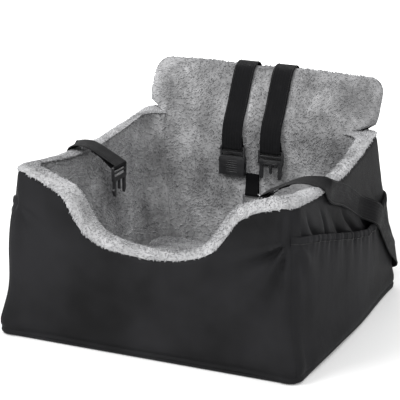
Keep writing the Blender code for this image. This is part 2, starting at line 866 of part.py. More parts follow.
def make_headrest_straps(materials):
    """The two straps over the top of the back. It returns the bars at their ends, right one first."""
    rear = Vector((0.0, 1.0, 0.0))
    off = webbing_thickness / 2.0 + fit_gap
    start, upward, ahead = recline_frame()
    place = headrest_strap_spacing / back_top_width
    half = back_top_width / 2.0
    heights = [between(shoulder_height() + back_shoulder, back_top_height, share) for share in strap_rise_shares]
    bars = []
    for side, name in ((1.0, "right"), (-1.0, "left")):
        column = (REAR, (1.0 - side * headrest_strap_spacing / rim_rear_width) / 2.0, 0.0)
        stops = []
        for share in (0.0, 0.5):
            height = between(headrest_anchor_height, rear_rim_height, share)
            stops.append((outside_spot(column, height, off + 3.0 * fit_gap), rear))
            stops[-1][0].x = side * headrest_strap_spacing / 2.0
        for height in heights[1:]:
            behind = core_half(place, height) + board_room(place) + fit_gap + cloth + off + 3.0 * fit_gap
            stops.append((back_point(side * place, height, half, -behind), -ahead))
        stops.insert(2, (between(stops[1][0], stops[2][0], 0.5), rear))
        top = back_point(side * place, back_top_height, half, 0.0)
        rise = off + 3.0 * fit_gap
        stops.append((top + upward * rise * 1.4 - ahead * plush, upward * 2.0 - ahead))
        stops.append((top + upward * rise * 1.9 + ahead * plush, upward * 2.0 + ahead))
        for height in reversed(heights):
            before = core_half(place, height) + fit_gap + plush + off + fit_gap
            stops.append((back_point(side * place, height, half, before), ahead))
        radius = loop_radius(bar_reach())
        front, down = Vector((0.0, -1.0, 0.0)), Vector((0.0, 0.0, -1.0))
        face = from_inside((REAR, 0.5, 0.0), headrest_strap_bar_height, 0.0)
        hang = face.y - radius - webbing_thickness - seam_gap
        bar = Vector((side * headrest_strap_spacing / 2.0, hang, headrest_strap_bar_height))
        rim_face = from_inside((REAR, 0.5, 0.0), rear_rim_height, 0.0)
        bend = Vector((bar.x, rim_face.y - off - 4.0 * fit_gap, rear_rim_height))
        drop = Vector((bar.x, bar.y - radius, between(bar.z, bend.z, 0.45)))
        stops += [(bend, front), (drop, front)]
        stops += loop_stops(bar, down, front, radius)
        stops.append((drop - front * (webbing_thickness + 2.0 * fit_gap), -front))
        ribbon(f"{name}_headrest_strap", stops, webbing_width, materials["webbing"])
        bars.append(bar)
    return bars


# Buckles, tether ring and zip


def plate(name, outline, holes, thickness, material, origin, turn, edge=0.0):
    """A flat plate cut from an outline with holes, its thickness shared to both sides of the outline's plane."""
    curve = bpy.data.curves.new(name, "CURVE")
    curve.dimensions = "2D"
    curve.fill_mode = "BOTH"
    curve.extrude = thickness / 2.0 - edge
    curve.bevel_depth = edge
    curve.bevel_resolution = 0
    curve.offset = -edge
    for loop in [outline] + holes:
        spline = curve.splines.new("POLY")
        spline.points.add(len(loop) - 1)
        for point, (x, y) in zip(spline.points, loop):
            point.co = (x, y, 0.0, 1.0)
        spline.use_cyclic_u = True
    shape = bpy.data.objects.new(name + "_outline", curve)
    bpy.context.scene.collection.objects.link(shape)
    mesh = bpy.data.meshes.new_from_object(shape.evaluated_get(bpy.context.evaluated_depsgraph_get()))
    bpy.data.objects.remove(shape, do_unlink=True)
    weld = bmesh.new()
    weld.from_mesh(mesh)
    bmesh.ops.remove_doubles(weld, verts=weld.verts, dist=weld_distance)
    bmesh.ops.recalc_face_normals(weld, faces=weld.faces)
    weld.to_mesh(mesh)
    weld.free()
    mesh.materials.clear()
    mesh.materials.append(material)
    made = bpy.data.objects.new(name, mesh)
    made.matrix_world = Matrix.Translation(origin) @ turn.to_4x4()
    bpy.context.scene.collection.objects.link(made)
    return made


def rectangle(left, right, low, high):
    return [(left, low), (right, low), (right, high), (left, high)]


def box(name, low, high, material, origin, turn):
    """A block between two corners, in the axes of the piece that it belongs to."""
    (x0, y0, z0), (x1, y1, z1) = low, high
    points = [(x, y, z) for z in (z0, z1) for x, y in ((x0, y0), (x1, y0), (x1, y1), (x0, y1))]
    faces = [(3, 2, 1, 0), (4, 5, 6, 7), (0, 1, 5, 4), (1, 2, 6, 5), (2, 3, 7, 6), (3, 0, 4, 7)]
    mesh = bpy.data.meshes.new(name)
    mesh.from_pydata(points, [], faces)
    made = bpy.data.objects.new(name, mesh)
    made.data.materials.append(material)
    made.matrix_world = Matrix.Translation(origin) @ turn.to_4x4()
    bpy.context.scene.collection.objects.link(made)
    return made


def join(target, helper, operation):
    """Joins the helper to the target, or cuts it out, and hides the helper."""
    helper.hide_render = True
    helper.display_type = "WIRE"
    change = target.modifiers.new(helper.name, "BOOLEAN")
    change.operation = operation
    change.object = helper


def hanging(look):
    """Turns a piece drawn with its length down the page so that it hangs, facing this way along X or Y."""
    across = Vector((0.0, 0.0, 1.0)).cross(look)
    return Matrix((across, (0.0, 0.0, 1.0), look)).transposed()


def ladder(bottom):
    """The two webbing slots at a buckle's end, as holes, and the height where its body starts."""
    half = webbing_width / 2.0 + rail_clearance
    high = -buckle_bar / 2.0
    first = rectangle(-half, half, high - buckle_slot, high)
    low = high - buckle_slot - buckle_bar
    second = rectangle(-half, half, low - buckle_second_slot, low)
    return [first, second], low - buckle_second_slot - bottom


# Heights of a prong's hook, its tip's slopes, in shares of the prong's length and width
hook_place_share = 0.55
hook_slope_share = 0.6
tip_shares = ((0.2, 0.4), (0.7, 0.0), (1.0, 0.5))


def make_plug(name, bar, look, material):
    """The plug half: two webbing bars, a shoulder, two sprung prongs and the guide between them."""
    holes, shoulder = ladder(plug_shoulder)
    half = buckle_width / 2.0
    reach = buckle_width / 2.0 - socket_wall - plug_clearance
    tip = shoulder - prong_length
    hook = shoulder - prong_length * hook_place_share
    right = [
        (half, shoulder + buckle_corner), (half - buckle_corner, shoulder), (reach, shoulder),
        (reach, hook + prong_hook), (reach + prong_hook * hook_slope_share, hook),
    ]
    right += [(reach - prong_width * inwards, tip + prong_width * up) for inwards, up in tip_shares]
    right += [
        (reach - prong_width, shoulder), (guide_width / 2.0, shoulder),
        (guide_width / 2.0, shoulder - guide_length + guide_width / 2.0), (guide_width / 4.0, shoulder - guide_length),
    ]
    top = buckle_bar / 2.0
    outline = [(half - top, top), (half, 0.0)] + right
    outline += [(-x, y) for x, y in reversed(outline)]
    return plate(name, outline, holes, buckle_plate, material, bar, hanging(look))


def make_socket(name, bar, look, material):
    """The socket half: two webbing bars and a hollow body with a window in each side."""
    holes, top = ladder(0.0)
    half = buckle_width / 2.0
    rail = half - fit_gap
    low = top - socket_length
    corner = buckle_corner
    high = buckle_bar / 2.0
    outline = [(rail - high, high), (rail, 0.0), (rail, top - corner)]
    outline += [(-x, y) for x, y in reversed(outline)]
    made = plate(name, outline, holes, buckle_plate, material, bar, hanging(look))
    roof = top - fit_gap
    shell = [(half, low), (half, roof - corner), (half - corner, roof)]
    shell += [(-x, y) for x, y in reversed(shell)]
    body = plate(name + "_body", shell, [], socket_thickness, material, bar, hanging(look))
    side, deep = half - socket_wall, socket_thickness / 2.0 - socket_wall
    mouth = box(
        name + "_mouth", (-side, low - overrun, -deep), (side, top - corner - socket_wall, deep), material, bar, hanging(look),
    )
    middle = between(low, top, 0.5)
    window = box(
        name + "_window", (-half - overrun, middle - socket_window / 2.0, running_gap - deep),
        (half + overrun, middle + socket_window / 2.0, deep - running_gap), material, bar, hanging(look),
    )
    join(made, body, "UNION")
    join(made, mouth, "DIFFERENCE")
    join(made, window, "DIFFERENCE")
    return made


def make_ring(materials):
    """The tether ring on its bar, and the sewn tab that holds it to the back."""
    face = from_inside((REAR, 0.5, 0.0), ring_height, 0.0)
    radius = loop_radius(ring_wire / 2.0)
    bar = Vector((0.0, face.y - radius - webbing_thickness / 2.0 - fit_gap, ring_height))
    curve = bpy.data.curves.new("tether_ring", "CURVE")
    curve.dimensions = "3D"
    curve.bevel_depth = ring_wire / 2.0
    curve.bevel_resolution = 2
    half = ring_width / 2.0
    corner = ring_wire
    places = [(corner - half, 0.0), (half - corner, 0.0), (half - corner * 0.3, -corner * 0.3), (half, -corner)]
    centre = corner + ring_depth - half
    for turn in (-15.0, -40.0, -65.0, -90.0, -115.0, -140.0, -165.0):
        angle = math.radians(turn)
        places.append((half * math.cos(angle), -centre + half * math.sin(angle) * (ring_depth - centre) / half))
    places += [(-half, -corner), (corner * 0.3 - half, -corner * 0.3)]
    spline = curve.splines.new("POLY")
    spline.points.add(len(places) - 1)
    for point, (x, z) in zip(spline.points, places):
        point.co = (x, 0.0, z, 1.0)
    spline.use_cyclic_u = True
    curve.materials.append(materials["steel"])
    ring = bpy.data.objects.new("tether_ring", curve)
    ring.location = bar
    bpy.context.scene.collection.objects.link(ring)
    front, up = Vector((0.0, -1.0, 0.0)), Vector((0.0, 0.0, 1.0))
    top = bar + up * tab_tail
    flat = bar.y + radius
    back_foot = Vector((0.0, flat, bar.z + radius))
    back_top = Vector((0.0, flat - seam_gap, top.z))
    near = Vector((0.0, back_top.y - webbing_thickness - 2.0 * fit_gap, between(bar.z, top.z, 0.55)))
    near_top = Vector((0.0, near.y, top.z))
    stops = [(back_top, -front), (between(back_top, back_foot, 0.5), -front), (back_foot, -front)]
    stops += loop_stops(bar, -up, -front, radius)
    stops += [(near, front), (near_top, front)]
    ribbon("ring_tab", stops, tab_width, materials["webbing"])


def make_zip(materials):
    """The zip across the lower rear: tape, closed coil, and the slider with its pull."""
    places = even_shares(4)
    middle = outside_spot((REAR, 0.5, 0.0), zip_height, 0.0)
    lean = rim_rear_lean / rear_rim_height

    def strip(name, tall, inner, outer, length, material):
        near, far = [], []
        for up in (-0.5, 0.5):
            rise = Vector((0.0, -lean * tall * up, tall * up))
            for rows, depth in ((near, outer), (far, inner)):
                rows.append([
                    middle + rise + Vector((length * (0.5 - place), depth, 0.0)) for place in places
                ])
        return slab(name, near, far, material)

    tape_face = fit_gap + zip_tape_thickness
    strip("zip_tape", zip_tape, fit_gap, tape_face, zip_length, materials["webbing"])
    coil_low = tape_face + fit_gap
    coil_length = zip_length - 2.0 * slider_inset
    strip("zip_coil", zip_coil, coil_low, coil_low + zip_coil_height, coil_length, materials["plastic"])
    turn = Matrix(((-1.0, 0.0, 0.0), (0.0, 0.0, 1.0), (0.0, 1.0, 0.0)))
    start = middle + Vector((coil_length / 2.0 - slider_length, tape_face + running_gap, 0.0))
    half = slider_width / 2.0
    groove = zip_coil / 2.0 + 2.0 * running_gap
    deep = fit_gap + zip_coil_height + running_gap
    profile = [
        (-half, 0.0), (-groove, 0.0), (-groove, deep), (groove, deep), (groove, 0.0), (half, 0.0),
        (half, slider_thickness * 0.7), (half * 0.8, slider_thickness), (-half * 0.8, slider_thickness),
        (-half, slider_thickness * 0.7),
    ]
    rings = []
    for end in (0.5, -0.5):
        rings.append([start + Vector((slider_length * end, out, up)) for up, out in profile])
    slider = loft("zip_slider", rings, materials["steel"], origin=start, round_angle=30.0)
    crown_half = crown_length / 2.0
    arch = [
        (-crown_half, -overrun / 2.0), (crown_half, -overrun / 2.0), (crown_half, crown_height * 0.6),
        (crown_half * 0.6, crown_height), (-crown_half * 0.6, crown_height), (-crown_half, crown_height * 0.6),
    ]
    inner = crown_half - crown_wall
    hole = rectangle(-inner, inner, running_gap, crown_height - crown_wall)
    seat = start + Vector((0.0, slider_thickness, 0.0))
    crown = plate("zip_slider_crown", arch, [hole], crown_width, materials["steel"], seat, Matrix.Identity(3))
    join(slider, crown, "UNION")
    pivot = seat + Vector((-inner + pull_frame, (crown_height - crown_wall + running_gap) / 2.0, 0.0))
    half = pull_width / 2.0
    window = rectangle(-pull_length * 0.3, -pull_frame / 2.0, -half + pull_frame, half - pull_frame)
    outline = [
        (pull_frame / 2.0, -half), (pull_frame / 2.0, half), (-pull_length * 0.85, half), (-pull_length, half * 0.5),
        (-pull_length, -half * 0.5), (-pull_length * 0.85, -half),
    ]
    plate("zip_pull", outline, [window], pull_thickness, materials["steel"], pivot, turn)


def make_materials():
    return {
        "cloth": make_material("black cloth", (0.03, 0.03, 0.033), 0.5),
        "plush": make_material("grey plush", (0.33, 0.33, 0.34), 0.95),
        "foam": make_material("foam", (0.75, 0.74, 0.7), 0.9),
        "board": make_material("board", (0.2, 0.2, 0.21), 0.6),
        "webbing": make_material("black webbing", (0.02, 0.02, 0.022), 0.6),
        "plastic": make_material("black plastic", (0.02, 0.02, 0.02), 0.35),
        "steel": make_material("steel", (0.6, 0.6, 0.6), 0.3, 1.0),
        "binding": make_material("binding", (0.02, 0.02, 0.022), 0.8),
    }


def main():
    clear_scene()
    materials = make_materials()
    make_back(materials)
    make_walls(materials)
    make_rims(materials)
    floor_top = make_base(materials)
    make_cushion(floor_top, materials)
    make_pockets(materials)
    right_bar, left_bar = make_side_straps(materials)
    headrest_right, headrest_left = make_headrest_straps(materials)
    make_plug("left_plug", left_bar, Vector((1.0, 0.0, 0.0)), materials["plastic"])
    make_socket("right_socket", right_bar, Vector((-1.0, 0.0, 0.0)), materials["plastic"])
    make_plug("headrest_plug", headrest_right, Vector((0.0, -1.0, 0.0)), materials["plastic"])
    make_socket("headrest_socket", headrest_left, Vector((0.0, -1.0, 0.0)), materials["plastic"])
    make_ring(materials)
    make_zip(materials)


main()
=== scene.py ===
"""Looks of the booster car seat for a small pet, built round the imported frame.

Metres, +Z up, front towards -Y.
"""

import math

import bmesh
import bpy
import numpy as np
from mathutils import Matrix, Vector


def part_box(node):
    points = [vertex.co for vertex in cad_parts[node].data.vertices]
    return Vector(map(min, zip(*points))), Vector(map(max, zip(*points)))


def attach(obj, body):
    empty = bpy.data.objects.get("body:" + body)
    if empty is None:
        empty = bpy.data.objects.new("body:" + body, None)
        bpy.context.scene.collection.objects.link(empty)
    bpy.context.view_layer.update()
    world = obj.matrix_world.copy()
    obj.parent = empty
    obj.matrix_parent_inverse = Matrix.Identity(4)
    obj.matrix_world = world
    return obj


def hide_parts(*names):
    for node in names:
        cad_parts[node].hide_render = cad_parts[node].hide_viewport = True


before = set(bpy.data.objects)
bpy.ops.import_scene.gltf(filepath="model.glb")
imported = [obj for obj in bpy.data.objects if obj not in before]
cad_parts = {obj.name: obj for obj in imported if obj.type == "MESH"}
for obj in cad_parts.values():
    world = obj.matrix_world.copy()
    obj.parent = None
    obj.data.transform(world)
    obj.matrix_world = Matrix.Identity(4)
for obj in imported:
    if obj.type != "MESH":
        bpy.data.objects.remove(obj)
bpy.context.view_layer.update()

# Tub, as in the CAD source
base_width, base_depth = 0.500, 0.490
rim_front_width, rim_front_lean = 0.487, 0.024
rim_rear_width, rim_rear_lean = 0.433, 0.016
corner_height, rear_rim_height = 0.272, 0.277
scoop_depth, side_dip = 0.111, 0.017
corner_radius, bowl_radius = 0.025, 0.040
frame_shift = -0.01141
cloth, plush, fit_gap, board = 0.0014, 0.006, 0.0004, 0.003
wall_foot, wall_rim, wall_rim_rear = 0.044, 0.014, 0.012
back_foot, back_core, back_edge_core = 0.046, 0.024, 0.003
back_top_height, back_top_width, back_recline = 0.364, 0.420, 0.045
back_corner_radius, back_shoulder = 0.026, 0.014
base_cloth, floor_plush = 0.0016, 0.004
rim_roll_height = 0.010
roll_rise_shares = np.array(((0.0, 1.0), (0.15, 0.85), (0.5, 0.75), (0.955, 0.3), (1.0, 0.12)))
webbing_width, webbing_thickness = 0.038, 0.0016
scoop_shares = np.array((
    (0.0, 0.0), (0.165, 0.03), (0.29, 0.08), (0.38, 0.14), (0.46, 0.25), (0.52, 0.41), (0.565, 0.56),
    (0.61, 0.71), (0.66, 0.79), (0.73, 0.86), (0.82, 0.93), (0.91, 0.98), (1.0, 1.0)))
dip_shares = np.array(((0.0, 0.0), (0.12, 0.4), (0.27, 0.8), (0.42, 1.0), (0.6, 1.0), (0.8, 0.6), (1.0, 0.0)))

headrest_spacing, zip_height, ring_height = 0.072, 0.095, 0.150

# Steps along the walls, and rows up them
cloth_step, lining_step, roll_step, rear_step = 0.003, 0.0045, 0.0028, 0.0035
wall_rows, lining_rows, rear_rows = 84, 50, 60
# Where the front corners are pinched, and where the sides of the front are full again
pinch_height, full_height = 0.219, 0.213

foot = base_cloth + fit_gap
lining_radius = bowl_radius - fit_gap - plush
corner_arc = corner_radius * math.pi / 2.0
mirror = np.array((-1.0, 1.0, 1.0))

FRONT_RIGHT, RIGHT, REAR_RIGHT, REAR, REAR_LEFT, LEFT, FRONT_LEFT, FRONT = range(8)
front_runs = ((FRONT_LEFT, 0.5, 1.0), (FRONT, 0.0, 1.0), (FRONT_RIGHT, 0.0, 0.5))
side_runs = ((FRONT_RIGHT, 0.5, 1.0), (RIGHT, 0.0, 1.0), (REAR_RIGHT, 0.0, 1.0))


# Numbers and noise


def lerp(low, high, share):
    return low + (high - low) * share


def ease(share):
    share = np.clip(share, 0.0, 1.0)
    return share * share * (3.0 - 2.0 * share)


def bump(value, centre, width):
    """A smooth hump of height 1 at the centre."""
    return np.exp(-(((value - centre) / width) ** 2))


def dome(share):
    """0 at both ends and 1 half-way."""
    return np.sin(np.pi * np.clip(share, 0.0, 1.0))


def unit(vector):
    vector = np.asarray(vector, float)
    return vector / np.maximum(np.linalg.norm(vector, axis=-1, keepdims=True), 1e-12)


def distances(points):
    """How far along its line each point lies."""
    return np.concatenate([[0.0], np.cumsum(np.linalg.norm(np.diff(points, axis=0), axis=1))])


def softened(line, reach):
    """The line averaged over this many places on both sides."""
    kernel = np.hanning(2 * reach + 1)
    return np.convolve(np.pad(line, reach, mode="edge"), kernel / kernel.sum(), "valid")


def monotone(table, places):
    """A smooth curve through a table of (place, value)."""
    fine = np.linspace(table[0, 0], table[-1, 0], 401)
    return np.interp(places, fine, softened(np.interp(fine, *table.T), 16))


grains = np.random.default_rng(7).random((64, 64, 64))


def noise(points, size, seed=0):
    """Smooth value noise in -1..1 over points of shape (..., 3), with features of this size."""
    place = np.asarray(points) / size + 37.0 + seed * 11.37
    low = np.floor(place).astype(int)
    share = ease(place - low)
    total = 0.0
    for corner in range(8):
        step = np.array([corner & 1, corner >> 1 & 1, corner >> 2 & 1])
        weight = np.prod(np.where(step == 1, share, 1.0 - share), axis=-1)
        i, j, k = np.moveaxis((low + step) % 64, -1, 0)
        total = total + weight * grains[i, j, k]
    return total * 2.0 - 1.0


def line_noise(along, size, seed):
    """Noise that changes only along the wall."""
    return noise(np.dstack([along, along * 0.0, along * 0.0]), size, seed)


def fractal(points, size, octaves=3, seed=0):
    total, weight, full = 0.0, 1.0, 0.0
    for octave in range(octaves):
        total = total + noise(points, size / 2.0 ** octave, seed + octave) * weight
        full += weight
        weight *= 0.5
    return total / full


# The tub's outline, after the CAD source


def corners_at(height, inside=False):
    share, rear_share = height / corner_height, height / rear_rim_height
    front_x = lerp(base_width, rim_front_width, share) / 2.0
    rear_x = lerp(base_width, rim_rear_width, rear_share) / 2.0
    front_y = frame_shift - base_depth / 2.0 + rim_front_lean * share
    rear_y = frame_shift + base_depth / 2.0 - rim_rear_lean * rear_share
    if inside:
        share = float(ease(share))
        front_wall = lerp(wall_foot, wall_rim, share)
        front_x, front_y = front_x - front_wall, front_y + front_wall
        rear_x -= lerp(wall_foot, wall_rim_rear, share)
        rear_y -= lerp(back_foot, back_core + 2.0 * plush, share)
    corners = np.array([(front_x, front_y), (rear_x, rear_y), (-rear_x, rear_y), (-front_x, front_y)])
    return inset_corners(corners, fit_gap + plush) if inside else corners


def inset_corners(corners, inset):
    moved = []
    for index in range(4):
        before = unit(corners[index] - corners[index - 1])
        after = unit(corners[(index + 1) % 4] - corners[index])
        first, second = np.array((-before[1], before[0])), np.array((-after[1], after[0]))
        moved.append(corners[index] + (first + second) * inset / (1.0 + first @ second))
    return np.array(moved)


def outline_spot(corners, radius, section, share):
    """A point of the outline with round corners, and its inward direction."""
    index = section // 2
    corner, following = corners[index], corners[(index + 1) % 4]
    before, after = unit(corner - corners[index - 1]), unit(following - corner)
    turn = math.acos(float(np.clip(before @ after, -1.0, 1.0)))
    if section % 2 == 0:
        start = corner - before * radius * math.tan(turn / 2.0)
        inward = np.array((-before[1], before[0]))
        cos, sin = math.cos(share * turn), math.sin(share * turn)
        turned = np.array((inward[0] * cos - inward[1] * sin, inward[0] * sin + inward[1] * cos))
        return start + inward * radius - turned * radius, turned
    beyond = unit(corners[(index + 2) % 4] - following)
    next_turn = math.acos(float(np.clip(after @ beyond, -1.0, 1.0)))
    start = corner + after * radius * math.tan(turn / 2.0)
    end = following - after * radius * math.tan(next_turn / 2.0)
    return start + (end - start) * share, np.array((-after[1], after[0]))


def rim_height(section, share):
    if section == FRONT:
        across = abs(2.0 * share - 1.0) * (1.0 - 2.0 * corner_radius / rim_front_width)
        return corner_height - scoop_depth * (1.0 - float(monotone(scoop_shares, across)))
    if section == RIGHT:
        return lerp(corner_height, rear_rim_height, share) - side_dip * float(monotone(dip_shares, share))
    return corner_height if section in (FRONT_LEFT, FRONT_RIGHT) else rear_rim_height


levels = np.linspace(0.0, 0.30, 13)
level_corners = [(corners_at(z), corners_at(z, True)) for z in levels]


def at_heights(lines, heights):
    """Reads (columns, levels, 2) lines at heights (rows, columns), giving (rows, columns, 2)."""
    place = np.clip(heights / (levels[1] - levels[0]), 0.0, len(levels) - 1.001)
    low = place.astype(int)
    share = (place - low)[..., None]
    column = np.broadcast_to(np.arange(heights.shape[1]), heights.shape)
    return lines[column, low] * (1.0 - share) + lines[column, low + 1] * share


class Wall:
    """Columns of the tub's wall, with their length along the outline and their rim height."""

    def __init__(self, runs, step):
        self.columns = []
        for section, start, end in runs:
            length = {0: corner_arc}.get(section % 2, base_depth if section == RIGHT else 0.45)
            count = max(int(round(abs(end - start) * length / step)), 2)
            shares = np.linspace(start, end, count + 1)[1 if self.columns else 0:]
            self.columns += [(section, float(share)) for share in shares]
        lines = np.array([[
            (*outline_spot(outer, corner_radius, *column), outline_spot(inner, lining_radius, *column)[0])
            for outer, inner in level_corners] for column in self.columns])
        self.out, self.way, self.ins = np.moveaxis(lines, 2, 0)
        self.rim = np.array([rim_height(*column) for column in self.columns])
        self.along = distances(self.out[:, 6])

    def rows(self, count):
        return foot + (self.rim[None, :] - foot) * np.linspace(0.0, 1.0, count + 1)[:, None]

    def spots(self, lines, heights, outwards):
        flat = at_heights(lines, heights) - at_heights(self.way, heights) * np.asarray(outwards)[..., None]
        return np.dstack([flat, heights])

    def outside(self, heights, standoff=0.0):
        return self.spots(self.out, heights, standoff)

    def inside(self, heights, depth=0.0):
        return self.spots(self.ins, heights, depth)


# Mesh making


def link(name, mesh, material, replaced=(), body="shell"):
    made = bpy.data.objects.new(name, mesh)
    made.data.materials.append(material)
    bpy.context.scene.collection.objects.link(made)
    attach(made, body)
    if replaced:
        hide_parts(*replaced)
    return made


def mesh_of(name, points, faces, uvs=None, sharp=None):
    """A smooth mesh from an array of points and a list or array of faces, with one UV pair for each point."""
    mesh = bpy.data.meshes.new(name)
    points, faces = [tuple(map(float, point)) for point in points], [tuple(map(int, face)) for face in faces]
    mesh.from_pydata(points, [], faces)
    if uvs is not None:
        layer = mesh.uv_layers.new(name="cloth")
        index = np.empty(len(mesh.loops), np.int32)
        mesh.loops.foreach_get("vertex_index", index)
        layer.data.foreach_set("uv", np.asarray(uvs, np.float32)[index].ravel())
    mesh.shade_smooth()
    if sharp:
        mesh.set_sharp_from_angle(angle=math.radians(sharp))
    return mesh


def grid_faces(rows, columns, start=0, flip=False):
    row, column = np.meshgrid(np.arange(rows - 1), np.arange(columns - 1), indexing="ij")
    a = start + row * columns + column
    quads = np.stack([a, a + 1, a + columns + 1, a + columns], -1).reshape(-1, 4)
    return quads[:, ::-1] if flip else quads


def sweep_faces(rings, around, start=0, flip=False):
    """Faces round a row of rings of points, with both its ends closed."""
    last = start + (rings - 1) * around
    faces = [tuple(range(start, start + around))]
    for ring in range(start, last, around):
        for k in range(around):
            low, high = ring + k, ring + (k + 1) % around
            faces.append((high, low, low + around, high + around))
    faces.append(tuple(range(last + around - 1, last - 1, -1)))
    return [face[::-1] for face in faces] if flip else faces


def shell(near, far):
    """A closed skin between two grids (rows, columns, 3).

    near faces its viewer, with columns to the right and rows up.
    """
    rows, columns = near.shape[:2]
    count = rows * columns
    index = np.arange(count).reshape(rows, columns)
    ring = np.concatenate([index[0], index[1:, -1], index[-1, -2::-1], index[-2:0:-1, 0]])
    following = np.roll(ring, -1)
    sides = np.stack([ring, ring + count, following + count, following], -1)
    faces = np.concatenate([grid_faces(rows, columns), grid_faces(rows, columns, count, True), sides])
    lengths = np.linalg.norm(np.diff(near, axis=1), axis=2)
    u = np.concatenate([np.zeros((rows, 1)), np.cumsum(lengths, axis=1)], axis=1)
    uv = np.stack([u, near[..., 2]], -1).reshape(-1, 2)
    return np.concatenate([near.reshape(-1, 3), far.reshape(-1, 3)]), faces, np.concatenate([uv, uv])


def grid_normals(grid):
    return unit(np.cross(np.gradient(grid, axis=1), np.gradient(grid, axis=0)))


def recalculate(obj):
    work = bmesh.new()
    work.from_mesh(obj.data)
    bmesh.ops.recalc_face_normals(work, faces=work.faces)
    work.to_mesh(obj.data)
    work.free()


def read(items, key):
    """One vector of each item, as an array (items, 3)."""
    values = np.empty(len(items) * 3)
    items.foreach_get(key, values)
    return values.reshape(-1, 3)


# Materials


def add_node(tree, kind, inputs=(), **settings):
    node = tree.nodes.new(kind)
    for key, value in settings.items():
        setattr(node, key, value)
    for key, value in dict(inputs).items():
        if isinstance(value, bpy.types.NodeSocket):
            tree.links.new(value, node.inputs[key])
        else:
            node.inputs[key].default_value = value
    return node


def seen_directly(tree):
    """1 for a camera, glossy or transmission ray."""
    rays = add_node(tree, "ShaderNodeLightPath").outputs
    seen = rays["Is Camera Ray"]
    for ray in ("Is Glossy Ray", "Is Transmission Ray"):
        seen = add_node(tree, "ShaderNodeMath", {0: seen, 1: rays[ray]}, operation="MAXIMUM").outputs[0]
    return seen


def grey(value, blue=None):
    """A grey, with its blue a little apart where that is given."""
    return value, value, blue or value


class Nodes:
    """Short calls for building one material's node tree."""

    def __init__(self, name, colour, roughness):
        self.material = bpy.data.materials.new(name)
        self.material.use_nodes = True
        self.tree = self.material.node_tree
        self.shader = self.tree.nodes["Principled BSDF"]
        self.set("Base Color", (*colour, 1.0))
        self.set("Roughness", roughness)
        self.place = self.add("ShaderNodeTexCoord").outputs["Object"]
        self.uv = self.add("ShaderNodeUVMap", uv_map="cloth").outputs["UV"]
        self.height = None

    def add(self, kind, inputs=(), **settings):
        return add_node(self.tree, kind, inputs, **settings)

    def set(self, key, value):
        self.shader.inputs[key].default_value = value

    def feed(self, key, value):
        self.tree.links.new(value, self.shader.inputs[key])

    def sheen(self, weight, roughness, tint=(1.0, 1.0, 1.0)):
        self.set("Sheen Weight", weight)
        self.set("Sheen Roughness", roughness)
        self.set("Sheen Tint", (*tint, 1.0))

    def stretched(self, *scale):
        return self.add("ShaderNodeMapping", {"Vector": self.place, "Scale": scale}).outputs["Vector"]

    def noise(self, scale, detail=3.0, place=None, rough=0.6):
        inputs = {"Vector": place or self.place, "Scale": scale, "Detail": detail, "Roughness": rough}
        return self.add("ShaderNodeTexNoise", inputs).outputs["Fac"]

    def wave(self, scale, place, direction, distortion=0.0):
        inputs = {"Vector": place, "Scale": scale, "Distortion": distortion, "Detail": 1.0}
        inputs["Detail Scale"] = 2.0
        return self.add("ShaderNodeTexWave", inputs, bands_direction=direction).outputs["Fac"]

    def math(self, operation, first, second):
        return self.add("ShaderNodeMath", {0: first, 1: second}, operation=operation).outputs[0]

    def spread(self, value, low, high, new_low, new_high):
        inputs = {"Value": value, "From Min": low, "From Max": high, "To Min": new_low, "To Max": new_high}
        return self.add("ShaderNodeMapRange", inputs).outputs["Result"]

    def colours(self, value, *stops):
        ramp = self.add("ShaderNodeValToRGB", {"Fac": value})
        points = ramp.color_ramp.elements
        while len(points) < len(stops):
            points.new(0.5)
        for point, (place, colour) in zip(points, stops):
            point.position = place
            point.color = (*colour, 1.0)
        return ramp.outputs["Color"]

    def mixed(self, factor, first, second):
        second = second if isinstance(second, bpy.types.NodeSocket) else (*second, 1.0)
        return self.add("ShaderNodeMix", {0: factor, 6: first, 7: second}, data_type="RGBA").outputs[2]

    def bump(self, value, distance, strength):
        inputs = {"Height": value, "Distance": distance, "Strength": strength}
        if self.height is not None:
            inputs["Normal"] = self.height
        self.height = self.add("ShaderNodeBump", inputs).outputs["Normal"]
        self.feed("Normal", self.height)


def cloth_material():
    """Black nylon that reflects little: a fine plain weave, small creases and lint, with broad blotches that
    are partly uneven tone and partly painted fold highlight and shade.
    """
    make = Nodes("black_cloth_look", grey(0.028, 0.031), 0.5)
    # Broad random blotches: partly the nylon's uneven tone, partly painted highlight and shade in place of
    # the sheen on folds.
    broad = make.noise(6.5)
    base = make.colours(broad, (0.34, grey(0.015, 0.0155)), (0.68, grey(0.028, 0.030)))
    weave = make.math("MULTIPLY", make.wave(330.0, make.uv, "X"), make.wave(330.0, make.uv, "Y"))
    base = make.mixed(make.spread(weave, 0.0, 1.0, 0.0, 0.35), base, grey(0.015, 0.016))
    cells = make.add("ShaderNodeTexVoronoi", {"Vector": make.place, "Scale": 900.0}).outputs["Distance"]
    lint = make.spread(cells, 0.0, 0.12, 0.12, 0.0)
    make.feed("Base Color", make.mixed(lint, base, grey(0.05, 0.052)))
    make.feed("Roughness", make.spread(make.math("ADD", broad, make.noise(420.0, 2.0)), 0.6, 1.4, 0.32, 0.48))
    make.sheen(0.006, 0.4, (0.8, 0.82, 0.88))
    make.set("Specular IOR Level", 0.01)
    make.bump(make.noise(34.0, 3.0, make.stretched(1.0, 1.0, 0.45)), 0.0025, 0.35)
    make.bump(weave, 0.0002, 0.45)
    return make.material


def pile_colour(make, mix, greys):
    stops = [(place, grey(value, value * 1.015)) for place, value in zip((0.38, 0.5, 0.62), greys)]
    return make.colours(mix, *stops)


